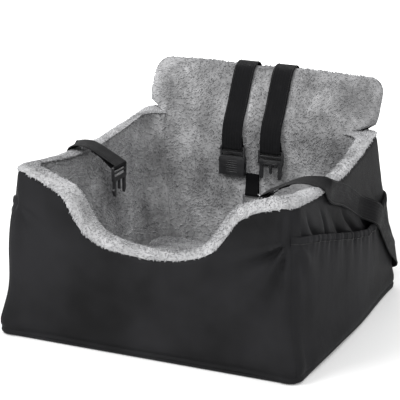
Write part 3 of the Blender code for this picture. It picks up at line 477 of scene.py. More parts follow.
def plush_material(name, greys, clumping=0.45, edge_highlight_greys=None):
    """Short grey pile: brushed light and dark patches, fine clumps, and, where highlight greys are given, a
    painted highlight of lighter greys along the outer edge.
    """
    make = Nodes(name, grey(greys[1]), 0.95)
    brushed = make.noise(16.0, 3.0, make.stretched(1.0, 1.0, 0.6), 0.55)
    clumps = make.noise(120.0)
    hairs = make.noise(900.0, 2.0, make.stretched(1.0, 1.0, 0.5))
    mix = make.math("ADD", make.math("MULTIPLY", brushed, 0.6), make.math("MULTIPLY", clumps, 0.2))
    mix = make.math("ADD", mix, make.math("MULTIPLY", hairs, 0.2))
    colour = pile_colour(make, mix, greys)
    # Painted highlight: past a point in the second UV value, the outer part of the edge takes the lighter
    # greys, as if lit.
    if edge_highlight_greys:
        across = make.add("ShaderNodeSeparateXYZ", {"Vector": make.uv}).outputs["Y"]
        across = make.math("ADD", across, make.math("MULTIPLY", hairs, 0.12))
        outer = make.spread(across, 0.60, 0.72, 0.0, 1.0)
        colour = make.mixed(outer, colour, pile_colour(make, mix, edge_highlight_greys))
    make.feed("Base Color", colour)
    make.sheen(0.45, 0.5, (0.95, 0.96, 1.0))
    make.set("Specular IOR Level", 0.1)
    make.bump(clumps, 0.0022, clumping)
    make.bump(hairs, 0.0009, 0.55)
    return make.material


def webbing_material():
    """Black ribbed webbing with worn places."""
    make = Nodes("webbing_look", grey(0.02, 0.022), 0.6)
    runs = make.spread(make.wave(62.0, make.uv, "Y"), 0.0, 1.0, 0.55, 1.0)
    weave = make.math("MULTIPLY", make.wave(190.0, make.uv, "X", 0.4), runs)
    wear = make.noise(60.0)
    base = make.colours(weave, (0.1, grey(0.005, 0.0055)), (0.9, grey(0.015, 0.0165)))
    make.feed("Base Color", make.mixed(make.spread(wear, 0.55, 0.8, 0.0, 0.35), base, grey(0.024, 0.0255)))
    make.feed("Roughness", make.spread(wear, 0.3, 0.8, 0.5, 0.72))
    make.sheen(0.02, 0.4)
    make.set("Specular IOR Level", 0.06)
    make.bump(weave, 0.0006, 0.8)
    make.bump(make.noise(700.0, 2.0), 0.0002, 0.4)
    return make.material


def plastic_material():
    """Moulded black plastic: fine spark texture and handling marks."""
    make = Nodes("plastic_look", grey(0.018, 0.019), 0.36)
    grain = make.noise(1500.0, 2.0)
    marks = make.noise(70.0, 4.0, make.stretched(1.0, 1.0, 4.0))
    make.feed("Base Color", make.colours(marks, (0.3, grey(0.013, 0.014)), (0.75, grey(0.028, 0.03))))
    make.feed("Roughness", make.spread(make.math("ADD", grain, marks), 0.6, 1.4, 0.26, 0.48))
    make.bump(grain, 0.00015, 0.5)
    return make.material


def steel_material():
    """Plated steel: brushed, with fine scratches and duller hollows."""
    make = Nodes("steel_look", grey(0.62, 0.63), 0.28)
    make.set("Metallic", 1.0)
    brushed = make.noise(900.0, 2.0, make.stretched(0.15, 1.0, 1.0))
    stains = make.noise(120.0)
    make.feed("Base Color", make.colours(stains, (0.3, grey(0.42, 0.43)), (0.7, grey(0.68, 0.69))))
    make.feed("Roughness", make.spread(make.math("ADD", brushed, stains), 0.5, 1.5, 0.18, 0.45))
    make.bump(brushed, 0.0001, 0.4)
    return make.material


def thread_material():
    """Twisted sewing thread."""
    make = Nodes("thread_look", grey(0.02, 0.021), 0.6)
    twist = make.wave(900.0, make.place, "DIAGONAL")
    make.feed("Base Color", make.colours(twist, (0.2, grey(0.012)), (0.8, grey(0.03))))
    make.bump(twist, 0.0002, 0.6)
    make.sheen(0.2, 0.4)
    return make.material


cloth_look = cloth_material()
# The rim's greys are a lighter copy of the lining's for the same plush: a painted highlight on the rim's
# outer edge.
lining_greys, rim_highlight_greys = (0.17, 0.32, 0.54), (0.38, 0.46, 0.56)
plush_look = plush_material("grey_plush_look", lining_greys)
rim_highlight_look = plush_material("plush_rim_look", lining_greys, 0.2, rim_highlight_greys)
webbing_look = webbing_material()
plastic_look = plastic_material()
steel_look = steel_material()
thread_look = thread_material()


# Pile: short tapered tufts that stand out of a plush surface

tuft_length, tuft_width = 0.0032, 0.0026
tuft_faces = [(2, 1, 0)]
for corner in range(3):
    after = (corner + 1) % 3
    tuft_faces += [(corner, after, after + 3), (corner, after + 3, corner + 3), (corner + 3, after + 3, 6)]


def tufts(points, normals, seed):
    """Vertices and faces of bent three-sided tufts, rooted just under the surface and leaning unevenly."""
    draw = np.random.default_rng(seed)
    count = len(points)
    normals = unit(normals)
    flow = np.stack([noise(points, 0.07, seed % 7 + step) for step in (3, 8, 13)], -1)
    lean = unit(flow + np.array((0.0, 0.0, -0.5))) + draw.normal(size=(count, 3)) * 0.35
    lean = unit(lean - normals * np.sum(lean * normals, axis=1, keepdims=True))
    sideways = unit(np.cross(normals, lean))
    size = 0.7 + 0.6 * draw.random((count, 1))
    turn = draw.random((count, 1)) * 2.0 * np.pi
    root = points - normals * tuft_length * 0.45
    middle = points + (normals * 0.5 + lean * 0.25) * tuft_length * size * 0.5
    rings = []
    for centre, spread in ((root, 1.0), (middle, 0.85)):
        for corner in range(3):
            angle = turn + corner * 2.0 * np.pi / 3.0
            spoke = sideways * np.cos(angle) + lean * np.sin(angle)
            rings.append(centre + spoke * tuft_width * size * spread / 2.0)
    tip = points + (normals * 0.62 + lean * 0.85) * tuft_length * size
    faces = (np.arange(count)[:, None, None] * 7 + np.array(tuft_faces)[None]).reshape(-1, 3)
    return np.stack(rings + [tip], axis=1).reshape(-1, 3), faces


def add_plush(name, points, faces, uv, grid, replaced, seed, spacing=0.0042, look=plush_look, bare=None,
              across=None):
    """A plush piece: its skin, and tufts scattered over its visible grid, but where bare(points) is true.

    across, where given, is the second UV value at the grid's first and last row.
    """
    draw = np.random.default_rng(seed)
    vertices, polygons, uvs = [points], list(map(tuple, faces)), [uv]
    start = len(points)
    a, b, c, d = grid[:-1, :-1], grid[:-1, 1:], grid[1:, 1:], grid[1:, :-1]
    normal = np.cross(c - a, d - b)
    wanted = np.linalg.norm(normal, axis=2) / 2.0 / spacing ** 2
    for layer in range(int(math.ceil(float(wanted.max())))):
        chosen = draw.random(wanted.shape) < np.clip(wanted - layer, 0.0, 1.0)
        s, t = draw.random(wanted.shape)[chosen][:, None], draw.random(wanted.shape)[chosen][:, None]
        spot = (a[chosen] * (1 - s) + b[chosen] * s) * (1 - t) + (d[chosen] * (1 - s) + c[chosen] * s) * t
        ways = normal[chosen]
        place = spot[:, [0, 2]]
        if across:
            place[:, 1] = lerp(*across, (np.nonzero(chosen)[0] + t[:, 0]) / len(a))
        if bare:
            kept = ~bare(spot)
            spot, ways, place = spot[kept], ways[kept], place[kept]
        more, tris = tufts(spot, ways, seed * 31 + layer)
        vertices.append(more)
        polygons += [tuple(face) for face in (tris + start).tolist()]
        uvs.append(np.repeat(place, 7, axis=0))
        start += len(more)
    mesh = mesh_of(name, np.concatenate(vertices), polygons, np.concatenate(uvs))
    made = link(name, mesh, look, replaced)
    return made


def pile(grid, normals, amount, seed):
    """A plush surface with uneven clumps."""
    lumps = fractal(grid, 0.045, 3, seed) * 0.0022 + fractal(grid, 0.011, 2, seed + 5) * 0.0013
    return grid + normals * (lumps * amount)[..., None]


stitch_section = ((1.0, 0.0), (0.3, 0.9), (-0.7, 0.7), (-0.7, -0.7), (0.3, -0.9))


def stitches(name, paths, lift=0.0002, length=0.0032, gap=0.0014, radius=0.00035):
    """Rows of sewing stitches along (points, normals) paths."""
    vertices, faces = [], []
    for points, normals in paths:
        points, normals = np.asarray(points), unit(normals)
        steps = distances(points)
        for index in range(int(steps[-1] / (length + gap))):
            places = index * (length + gap) + np.array((0.0, 0.25, 0.75, 1.0)) * length
            spots = np.stack([np.interp(places, steps, points[:, k]) for k in range(3)], -1)
            ways = unit(np.stack([np.interp(places, steps, normals[:, k]) for k in range(3)], -1))
            side = unit(np.cross(ways, unit(spots[-1] - spots[0])))
            faces += sweep_faces(4, len(stitch_section), len(vertices))
            for spot, way, across, rise in zip(spots, ways, side, (-1.2, 1.0, 1.0, -1.2)):
                centre = spot + way * (lift + radius * rise)
                vertices += [centre + way * radius * a + across * radius * b for a, b in stitch_section]
    link(name, mesh_of(name, vertices, faces), thread_look)


# The cloth tub


def radiating(along, height, centre, folds, reach, depth, low, high):
    """Folds that fan out from a pinched spot, between two angles measured from straight down."""
    x, z = along - centre[0], height - centre[1]
    distance = np.hypot(x, z)
    angle = np.arctan2(x, -z)
    inside = ease((angle - low) / 0.25) * ease((high - angle) / 0.25)
    strength = ease(distance / 0.012) * np.exp(-((distance / reach) ** 1.4))
    wave = np.sin(angle * folds + 0.6 * np.sin(angle * 3.1) + distance * 9.0)
    return depth * strength * inside * wave * np.clip(distance / 0.03, 0.25, 1.0)


def foot_seam(height):
    """The seam line a little above the base, with the cloth puffing out over it."""
    seam = -0.0022 * bump(height, 0.0115, 0.0028) + 0.0012 * bump(height, 0.024, 0.010)
    return seam - 0.002 * bump(height, 0.0, 0.003)


def corner_shape(off, heights, rise, width):
    """Relief near a front corner: pinched at one height, full below it and at the foot, in at the rim."""
    shape = 0.0027 * ease((0.022 - off) / 0.02) * ease((full_height - heights) / 0.012)
    shape -= 0.0045 * bump(off, 0.0, width) * bump(heights, pinch_height, 0.013)
    shape += 0.0085 * bump(off, 0.0, 0.05) * bump(heights, 0.03, 0.04)
    return shape - 0.0018 * ease((rise - 0.965) / 0.03)


def sagged(points):
    """The points with the sides bellied outwards low at the front, and the left one sunk in higher up."""
    points = np.array(points, float)
    x, y, z = np.moveaxis(points, -1, 0)
    low = np.exp(-((z / 0.05) ** 2)) * (1.0 - ease(y / 0.2))
    x += np.sign(x) * 0.0095 * low * ease((np.abs(x) - 0.17) / 0.07)
    high = bump(z, 0.155, 0.075) * (1.0 - ease((y + 0.12) / 0.25))
    x -= 0.0085 * high * ease((-x - 0.17) / 0.06)
    return points


def handed(side, grid):
    """A grid of the right-hand side, or its mirror image on the left."""
    return grid if side == "right" else grid[:, ::-1] * mirror


def cloth_piece(name, near, far, replaced, side="right"):
    points, faces, uv = shell(sagged(handed(side, near)), sagged(handed(side, far)))
    link(name, mesh_of(name, points, faces, uv, sharp=70.0), cloth_look, (replaced,))


def cloth_wall(name, wall, heights, relief, thickness, replaced, side="right"):
    """Cloth on a wall's outside, at its relief from the wall."""
    near, far = wall.outside(heights, relief), wall.outside(heights, relief - thickness)
    cloth_piece(name, near, far, replaced, side)


front = Wall(front_runs, cloth_step)
heights = front.rows(wall_rows)
half = front.along[-1] / 2.0
along = np.broadcast_to(front.along - half, heights.shape)
off = half - np.abs(along)
flat = front.outside(heights)
rise = heights / front.rim[None, :]
free = ease(off / 0.03)
relief = 0.005 * dome(rise) ** 0.8 * (1.0 - np.abs(along / half) ** 4)
relief += (fractal(flat, 0.15, 2, 3) * 0.0068 + fractal(flat, 0.06, 2, 9) * 0.0011) * free
fans = radiating(along, heights, (half - 0.006, pinch_height), 10.0, 0.095, 0.0088, -1.35, 0.3)
fans += radiating(along, heights, (0.010 - half, pinch_height + 0.002), 10.0, 0.055, 0.0036, -0.3, 1.2)
relief += fans * ease(free * 2.0)
relief += foot_seam(heights) + corner_shape(off, heights, rise, 0.007)
upper = ease((heights - 0.208) / 0.02) * ease((0.266 - heights) / 0.02)
relief += (0.0042 * bump(along, half - 0.021, 0.0042) + 0.0036 * bump(along, half - 0.007, 0.004)) * upper
relief += 0.0030 * bump(along + heights * 0.9, half + 0.172, 0.008) * ease((heights - 0.215) / 0.02)
cloth_wall("front_cover", front, heights, relief, cloth, "front_panel")

# Pocket shape, after the CAD source
pocket_stops = np.array((
    (0.0, 0.217), (0.14, 0.204), (0.52, 0.158), (0.66, 0.143), (0.84, 0.143), (1.0, 0.168)))
pocket_cloth, pocket_depth, pocket_foot_gap, elastic_width = 0.0016, 0.016, 0.0012, 0.009
pocket_foot, pocket_skin, elastic_skin = 0.0035, 0.0011, 0.0028


def progress_of(section, share):
    """How far a place on the right side is along the pocket, 0 to 1."""
    run = base_depth - 2.0 * corner_radius
    lengths = (share - 1.0) * corner_arc, share * run, run + share * corner_arc
    start, end = (0.62 - 1.0) * corner_arc, run + 0.6 * corner_arc
    return (lengths[(FRONT_RIGHT, RIGHT, REAR_RIGHT).index(section)] - start) / (end - start)


def mouth_height(progress):
    return np.interp(progress, *pocket_stops.T)


def smooth_mouth(progress):
    fine = np.linspace(-0.2, 1.2, 701)
    return np.interp(progress, fine, softened(mouth_height(fine), 30))[None, :]


def pocket_cavity(progress, rise):
    return pocket_foot_gap + pocket_depth * dome(progress) ** 0.7 * rise ** 1.4


right_wall = Wall(side_runs, cloth_step)


def make_side(side, seed):
    """One side's upper cloth, pocket and elastic; returns the path of the pocket's stitches."""
    wall = right_wall
    wall_heights = heights = wall.rows(wall_rows)
    along = np.broadcast_to(wall.along, heights.shape)
    part = along / wall.along[-1]
    progress = np.array([progress_of(*column) for column in wall.columns])
    mouth = smooth_mouth(progress)
    flat = wall.outside(heights)
    rise = heights / wall.rim[None, :]
    above = ease((heights - mouth + 0.01) / 0.02)
    warp = 2.6 * noise(flat, 0.085, seed) + 1.2 * noise(flat, 0.04, seed + 5)
    puffs = np.sin((along + heights * 0.7) * np.pi / 0.047 + warp * 0.7)
    puffs = 1.0 - 1.6 * (1.0 - np.abs(puffs)) ** 1.4
    puffs *= np.clip(0.62 + 0.75 * noise(flat, 0.07, seed + 4), 0.15, 1.2)
    near_rim = ease((wall.rim[None, :] - heights) / 0.05)
    near_mouth = bump(heights, mouth + 0.012, 0.036) * lerp(1.0, 0.3, ease((part - 0.45) / 0.25))
    relief = 0.004 * dome(rise) * dome(part) ** 0.5
    relief += 0.0085 * puffs * above * dome(part) ** 0.35 * near_rim * near_mouth
    relief += fractal(flat, 0.09, 2, seed + 1) * 0.0022 * lerp(0.35, 1.0, near_rim)
    relief = relief * ease(along / 0.03) + corner_shape(along, heights, rise, 0.008)
    wall_relief = relief + foot_seam(heights)
    covered = (above < 0.5) & (progress[None, :] < 1.0)
    relief = np.where(covered, np.minimum(relief, 0.0004), relief)
    cloth_wall(f"{side}_side_cover", wall, heights, relief, cloth, f"{side}_side_panel", side)

    progress = progress[progress <= 1.0]
    count = len(progress)
    mouth = smooth_mouth(progress)
    shares = np.linspace(0.0, 1.0, 70)[:, None]
    heights = lerp(pocket_foot, mouth, shares)
    rise = np.broadcast_to(shares, heights.shape)
    along = np.broadcast_to(wall.along[:count], heights.shape)
    flat = wall.outside(heights)
    ends = dome(progress)[None, :] ** 0.5
    strength = 0.55 + 0.45 * line_noise(along, 0.06, seed + 2)
    relief = pocket_cavity(progress[None, :], rise) + pocket_cloth + foot_seam(heights) * 0.8
    waves = np.sin(2.0 * np.pi * along / 0.021 + 4.0 * line_noise(along, 0.05, seed))
    relief += waves * 0.0018 * rise ** 13 * ends * strength
    waves = np.sin(2.0 * np.pi * along / 0.047 + 2.0 * noise(flat, 0.09, seed + 3))
    relief += waves * 0.0013 * rise ** 5 * ends
    relief += radiating(along, heights, (along[0, 0], mouth[0, 0]), 9.0, 0.06, 0.0045, -0.2, 1.3)
    folds = fractal(flat * np.array((1.0, 0.6, 1.0)), 0.085, 2, seed + 6)
    relief += folds * 0.0034 * np.minimum(rise * 5.0, 1.0) + 0.0035 * dome(rise) * ends
    forward = ease(progress / 0.12) * lerp(1.0, 0.35, ease((progress - 0.3) / 0.5))
    sag = (0.0060 * bump(heights, 0.018, 0.03) + 0.0035 * bump(heights, 0.09, 0.05)) * forward * ends ** 0.3
    relief += sag * ease((heights - pocket_foot) / 0.006)
    front_edge = np.array([
        np.interp(heights[:, k], wall_heights[:, k], wall_relief[:, k]) for k in range(count)]).T
    relief = lerp(front_edge + 0.0006, np.maximum(relief, 0.0008 + pocket_cloth), ease(along / 0.030))
    cloth_wall(f"{side}_pocket_cover", wall, heights, relief, pocket_skin, f"{side}_pocket", side)

    rows = np.linspace(-0.16, 1.0, 9)[:, None]
    heights = mouth + rows * elastic_width
    along = np.broadcast_to(wall.along[:count], heights.shape)
    top = relief[-1][None, :]
    sewn = ease(along / 0.03)
    pleats = np.sin(2.0 * np.pi * along / 0.0095 + 2.0 * line_noise(along, 0.03, seed)) * 0.0004
    bulge = 0.0011 * sewn * dome((rows + 0.16) / 1.16) ** 0.6
    outer = top + 0.0008 * ease(along / 0.02) + bulge + pleats * sewn
    replaced, thickness = f"{side}_pocket_elastic", elastic_skin + bulge
    cloth_wall(f"{side}_pocket_binding", wall, heights, outer, thickness, replaced, side)
    path = handed(side, sagged(wall.outside(mouth - 0.0022, top + 0.0004)))[0]
    return path, np.broadcast_to(handed(side, np.array([[(1.0, 0.0, 0.1)]]))[0], path.shape)


seams = [make_side("right", 20), make_side("left", 40)]


# Plush lining, rims and back


def make_liner(name, runs, side, seed):
    wall = Wall(runs, lining_step)
    heights = wall.rows(lining_rows)
    swell = 0.003 * dome(heights / wall.rim[None, :])
    grid = wall.inside(heights, 0.0015)[:, ::-1]
    normals = grid_normals(grid)
    near = handed(side, pile(grid + normals * swell[:, ::-1, None], normals, 1.0, seed))
    points, faces, uv = shell(near, handed(side, grid - normals * 0.005))
    place = name.split("_")[0]
    add_plush(name, points, faces, uv, near[8:], (f"{place}_liner", f"{place}_foam"), seed)


make_liner("front_lining", front_runs, "right", 61)
make_liner("right_lining", side_runs, "right", 67)
make_liner("left_lining", side_runs, "left", 71)


def make_roll(name, runs, side, seed):
    """The plush roll along the rim; it laps a little over the cloth and the lining."""
    wall = Wall(runs, roll_step)
    turns = np.radians(np.linspace(-24.0, 204.0, 25))[:, None]
    rises = []
    for section, share in wall.columns:
        back_share = {RIGHT: share, REAR_RIGHT: 1.0}.get(section, 0.0)
        rise = rim_roll_height * 1.08 * float(np.interp(back_share, *roll_rise_shares.T))
        near_left = float(ease({FRONT_LEFT: 0.5 + share, FRONT: 1.0 - share * 6.0}.get(section, 0.0)))
        rises.append(rise * (0.35 if side == "left" else 1.0 - 0.5 * near_left))
    heights = wall.rim[None, :] + 0.0008
    outer, inner = wall.outside(heights)[0], wall.inside(heights)[0]
    half = (outer - inner) / 2.0
    half *= 1.0 + 0.0016 / np.linalg.norm(half, axis=1, keepdims=True)
    grid = (outer + inner) / 2.0 - np.cos(turns)[..., None] * half
    grid[..., 2] = heights + np.array(rises) * np.where(turns % (2 * np.pi) > np.pi, 0.8, 1.0) * np.sin(turns)
    normals = -grid_normals(grid)
    lumps = fractal(grid, 0.06, 2, seed) * 0.0005
    near = handed(side, pile(grid, normals, 0.45, seed) + normals * lumps[..., None])
    rows, columns = near.shape[:2]
    index = np.arange(rows * columns).reshape(rows, columns)
    faces = [tuple(face) for face in grid_faces(rows, columns, flip=side != "left")]
    underside = np.stack([index[-1, :-1], index[-1, 1:], index[0, 1:], index[0, :-1]], -1)
    faces += [tuple(face) for face in underside]
    faces += [tuple(index[:, 0]), tuple(index[::-1, -1])]
    points = near.reshape(-1, 3)
    uv = np.stack([points[:, 0], np.repeat(np.linspace(0.0, 1.0, rows), columns)], -1)
    grid, across = (near, (0.0, 1.0)) if side == "left" else (near[::-1], (1.0, 0.0))
    replaced = (name.replace("roll", "rim"),)
    # The rim look paints a highlight along the roll's outer edge.
    roll = add_plush(name, points, faces, uv, grid, replaced, seed, 0.0034, rim_highlight_look, across=across)
    recalculate(roll)


make_roll("front_roll", front_runs, "right", 81)
make_roll("right_roll", side_runs, "right", 83)
make_roll("left_roll", side_runs, "left", 87)

rear = Wall([(REAR, 0.0, 1.0)], rear_step)
rear_places = np.array([1.0 - 2.0 * share for _, share in rear.columns])
shoulder = rear_rim_height + 2.0 * fit_gap
core_middle = corners_at(shoulder)[1][1] - cloth - board - 2.0 * fit_gap - back_core / 2.0
recline_start = np.array((0.0, core_middle, shoulder))
recline_up = unit(np.array((0.0, back_recline, back_top_height - shoulder)))
recline_ahead = np.array((0.0, -recline_up[2], recline_up[1]))
back_spread = 1.024

# Heights above the rim with the half width there, round at the top corners
straight_top = back_top_height - back_corner_radius
recline_rows = [(z, back_top_width / 2.0) for z in np.linspace(shoulder + back_shoulder, straight_top, 16)]
for turn in np.radians(np.linspace(0.0, 90.0, 13)[1:]):
    inset = back_corner_radius * (1.0 - math.cos(turn))
    recline_rows.append((straight_top + back_corner_radius * math.sin(turn), back_top_width / 2.0 - inset))
recline_rows = np.array(recline_rows)


def recline_grid(forward):
    """Points above the rim; forward(place, rise) is their distance before the middle surface."""
    high, half = recline_rows[:, :1] - shoulder, recline_rows[:, 1:]
    place, rise = np.meshgrid(rear_places, high / (back_top_height - shoulder))
    ahead = np.broadcast_to(forward(place, rise), place.shape)
    grid = recline_start + recline_up * (high / recline_up[2])[..., None] + recline_ahead * ahead[..., None]
    grid[..., 0] = rear_places * half * lerp(1.0, back_spread, ease(high / 0.03))
    return grid


def edge_fall(place, rise, across, up):
    """Two shares: 1 in the middle of the back, falling to 0 at its sides, and at its top."""
    return np.clip(1.0 - np.abs(place) ** across, 0.0, 1.0), 1.0 - np.clip(rise, 0.0, 1.0) ** up


def back_relief(place, rise):
    """The pillow: full in the middle, round at its edges, with a soft crease under the top right corner."""
    sides, top = edge_fall(place, rise, 7, 9)
    crease = -0.003 * bump(place - 0.30 * rise, 0.62, 0.035) * bump(rise, 0.42, 0.25)
    soft = 0.0015 + 0.0035 * dome(rise * 1.05) * (1.0 - place ** 4)
    off = np.abs(place) * back_top_width / 2.0 - headrest_spacing / 2.0
    pressed = np.exp(-((off / 0.024) ** 4))
    depth = back_core / 2.0 + plush + soft * (1.0 - pressed) - 0.001 * pressed + crease
    return sides ** 0.45 * top ** 0.5 * depth - 0.001


def behind_relief(place, rise):
    """The same pillow seen from behind, flatter."""
    sides, top = edge_fall(place, rise, 8, 10)
    return -(0.0135 * sides ** 0.6 * top ** 0.6 + 0.003)


def under_straps(points):
    """Where the headrest straps and the tether ring press the pile flat."""
    off = np.abs(points[:, 0])
    straps = (np.abs(off - headrest_spacing / 2.0) < 0.0215) & (points[:, 2] > rear_rim_height - 0.01)
    return straps | ((off < 0.024) & (np.abs(points[:, 2] - ring_height) < 0.012))


heights = np.broadcast_to(np.linspace(foot, shoulder, rear_rows)[:, None], (rear_rows, len(rear_places)))
middle_upper = recline_grid(lambda place, rise: -0.0015)
front_face = np.concatenate([rear.inside(heights), recline_grid(back_relief)])[:, ::-1]
behind_face = np.concatenate([rear.inside(heights, 0.012), middle_upper])[:, ::-1]
normals = grid_normals(front_face)
low, high = rear_rows - 6, rear_rows + 12
for _ in range(6):
    bend = front_face[low - 1:high + 1]
    front_face[low:high] = (bend[:-2] + bend[1:-1] * 2.0 + bend[2:]) / 4.0
x, _, z = np.moveaxis(front_face, -1, 0)
by_ring = 1.0 - np.exp(-((x / 0.026) ** 4) - ((z - ring_height) / 0.014) ** 4)
lumps = fractal(front_face, 0.06, 2, 92) * 0.0016 * by_ring - 0.0006 * (1.0 - by_ring)
front_face = lerp(front_face, pile(front_face, normals, 1.1, 91), by_ring[..., None])
front_face += normals * lumps[..., None]
points, faces, uv = shell(front_face, behind_face)
replaced = ("back_liner", "back_foam", "back_board")
add_plush("back_plush", points, faces, uv, front_face[6:], replaced, 93, bare=under_straps)

relief = 0.003 * dome(heights / shoulder) * (1.0 - rear_places[None, :] ** 6) + foot_seam(heights)
relief += fractal(rear.outside(heights), 0.12, 2, 95) * 0.0012
relief = np.clip(relief - 0.0022 * bump(heights, zip_height, 0.022), -0.003, 0.0016)
relief = np.where(np.abs(heights - zip_height) < 0.03, np.minimum(relief, 0.0), relief)
near = np.concatenate([rear.outside(heights, relief), recline_grid(behind_relief)])
far = np.concatenate([rear.outside(heights, relief - cloth), middle_upper])
cloth_piece("rear_cover", near, far, "rear_panel")


def ring_at(height, inset, inside, radius):
    """Points round the outline at a height, anticlockwise."""
    corners = inset_corners(corners_at(height, inside), inset)
    counts = [(10, 44)[section % 2] for section in range(8)]
    return np.array([
        outline_spot(corners, radius, section, float(share))[0]
        for section in range(8) for share in np.arange(counts[section]) / counts[section]])


def disc(name, rings, heights, look, replaced, shape=np.array):
    """A closed sheet made of rings round its middle, one after the other."""
    points = shape(np.concatenate([
        np.column_stack([ring, np.broadcast_to(height, len(ring))]) for ring, height in zip(rings, heights)]))
    faces = sweep_faces(len(rings), len(rings[0]), flip=True)
    return link(name, mesh_of(name, points, faces, points[:, :2]), look, replaced)


def shrunk(ring, size):
    """The ring drawn towards its middle."""
    centre = ring.mean(axis=0)
    return centre + (ring - centre) * size


def ring_lumps(ring, height, size, seed):
    return fractal(np.column_stack([ring, np.full(len(ring), height)]), size, 2, seed)


floor_low = foot + board + fit_gap
floor_edge = ring_at(floor_low, fit_gap, True, bowl_radius - plush)
rings = [shrunk(floor_edge, size) for size in np.linspace(1.0, 0.04, 40)]
floor_top = floor_low + floor_plush
heights = [floor_top - 0.0016 + ring_lumps(ring, floor_top, 0.03, 97) * 0.0011 for ring in rings]
replaced = ("floor_liner", "base_board")
rings, heights = [floor_edge] + rings, [floor_low - 0.002] + heights
disc("floor_lining", rings, heights, plush_look, replaced)

base_edge = ring_at(0.0, 0.0, False, corner_radius)
sizes = np.linspace(0.05, 1.0, 30)
rings = [shrunk(base_edge, size - 0.0012 * (size == 1.0)) for size in sizes]
heights = [
    0.0006 + 0.0006 * ring_lumps(ring, 0.0, 0.05, 99) * (size < 0.98) for ring, size in zip(rings, sizes)]
rings += [shrunk(base_edge, 0.999), shrunk(base_edge, 0.9)]
disc("base_cover", rings, heights + [base_cloth] * 2, cloth_look, ("base_panel",), sagged)


def cord(name, path, radius):
    """A round cloth cord along a closed path of points."""
    count, around = len(path), 10
    ahead = unit(np.roll(path, -1, axis=0) - np.roll(path, 1, axis=0))
    side = unit(np.cross(ahead, (0.0, 0.0, 1.0)))[:, None]
    up = np.cross(side, ahead[:, None])
    turns = np.linspace(0.0, 2.0 * np.pi, around, endpoint=False)
    rings = path[:, None] + (side * np.cos(turns)[None, :, None] + up * np.sin(turns)[None, :, None]) * radius
    index = np.arange(count * around).reshape(count, around)
    beside, after = np.roll(index, -1, axis=1), np.roll(index, -1, axis=0)
    faces = np.stack([index, beside, np.roll(beside, -1, axis=0), after], -1).reshape(-1, 4)
    girth = turns / (2.0 * np.pi) * radius * 6.3
    uv = np.column_stack([np.repeat(distances(path), around), np.tile(girth, count)])
    recalculate(link(name, mesh_of(name, rings.reshape(-1, 3), faces, uv), cloth_look))


piping = ring_at(0.0035, -0.0006, False, corner_radius)
wobble = ring_lumps(piping, 0.0, 0.05, 101) * 0.0004
cord("base_piping", sagged(np.column_stack([piping, 0.0030 + wobble])), 0.0019)


# Seat cushion


cushion_voxel, cushion_pressure, cushion_frames, cushion_reach = 0.006, 4.0, 20, 0.006


def swollen(source, name, shrink):
    """A padded form, blown up a little by a cloth simulation from a smaller copy of the CAD solid."""
    made = bpy.data.objects.new(name, source.data.copy())
    bpy.context.scene.collection.objects.link(made)
    middle = sum(np.array(corner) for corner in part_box(source.name)) / 2.0
    points = middle + (read(made.data.vertices, "co") - middle) * shrink
    made.data.vertices.foreach_set("co", points.ravel())
    bpy.ops.object.select_all(action="DESELECT")
    made.select_set(True)
    bpy.context.view_layer.objects.active = made
    made.data.remesh_voxel_size = cushion_voxel
    bpy.ops.object.voxel_remesh()
    before = read(made.data.vertices, "co")
    modifier = made.modifiers.new("swell", "CLOTH")
    modifier.settings.use_pressure = True
    modifier.settings.uniform_pressure_force = cushion_pressure
    modifier.settings.quality = 5
    modifier.settings.effector_weights.gravity = 0.0
    for step in range(1, cushion_frames + 1):
        bpy.context.scene.frame_set(step)
    swelled = made.evaluated_get(bpy.context.evaluated_depsgraph_get())
    moved = read(swelled.data.vertices, "co") - before
    made.modifiers.clear()
    bpy.context.scene.frame_set(1)
    reach = np.linalg.norm(moved, axis=1, keepdims=True)
    moved *= np.minimum(1.0, cushion_reach / np.maximum(reach, 1e-9))
    made.data.vertices.foreach_set("co", (before + moved).ravel())
    return made


cushion = swollen(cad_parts["seat_cushion"], "cushion_plush", np.array((0.975, 0.975, 0.9)))
cushion_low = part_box("seat_cushion")[0][2]
divide = cushion.modifiers.new("divide", "SUBSURF")
divide.levels = divide.render_levels = 1
bpy.ops.object.modifier_apply(modifier="divide")
spots, ways = read(cushion.data.vertices, "co"), read(cushion.data.vertex_normals, "vector")
swell = fractal(spots, 0.10, 2, 111) * 0.0022
swell += fractal(spots, 0.045, 3, 112) * 0.0018 + fractal(spots, 0.011, 2, 113) * 0.0012
swell -= 0.0045 * bump(spots[:, 2], cushion_low + 0.022, 0.0035) * (1.0 - np.abs(ways[:, 2]))
lifted = spots + ways * swell[:, None]
lifted[:, 2] = np.maximum(lifted[:, 2], cushion_low + 0.0002)
faces = [tuple(polygon.vertices) for polygon in cushion.data.polygons]
bpy.data.objects.remove(cushion, do_unlink=True)
draw = np.random.default_rng(117)
chosen = np.flatnonzero((ways[:, 2] > 0.1) & (draw.random(len(lifted)) < 0.8))
more, tris = tufts(lifted[chosen] + draw.normal(size=(len(chosen), 3)) * 0.0006, ways[chosen], 118)
faces += [tuple(face) for face in (tris + len(lifted)).tolist()]
points = np.concatenate([lifted, more])
mesh = mesh_of("seat_cushion_plush", points, faces, points[:, :2])
link("seat_cushion_plush", mesh, plush_look, ("seat_cushion",), "cushion")


# Webbing, after the CAD source's stops

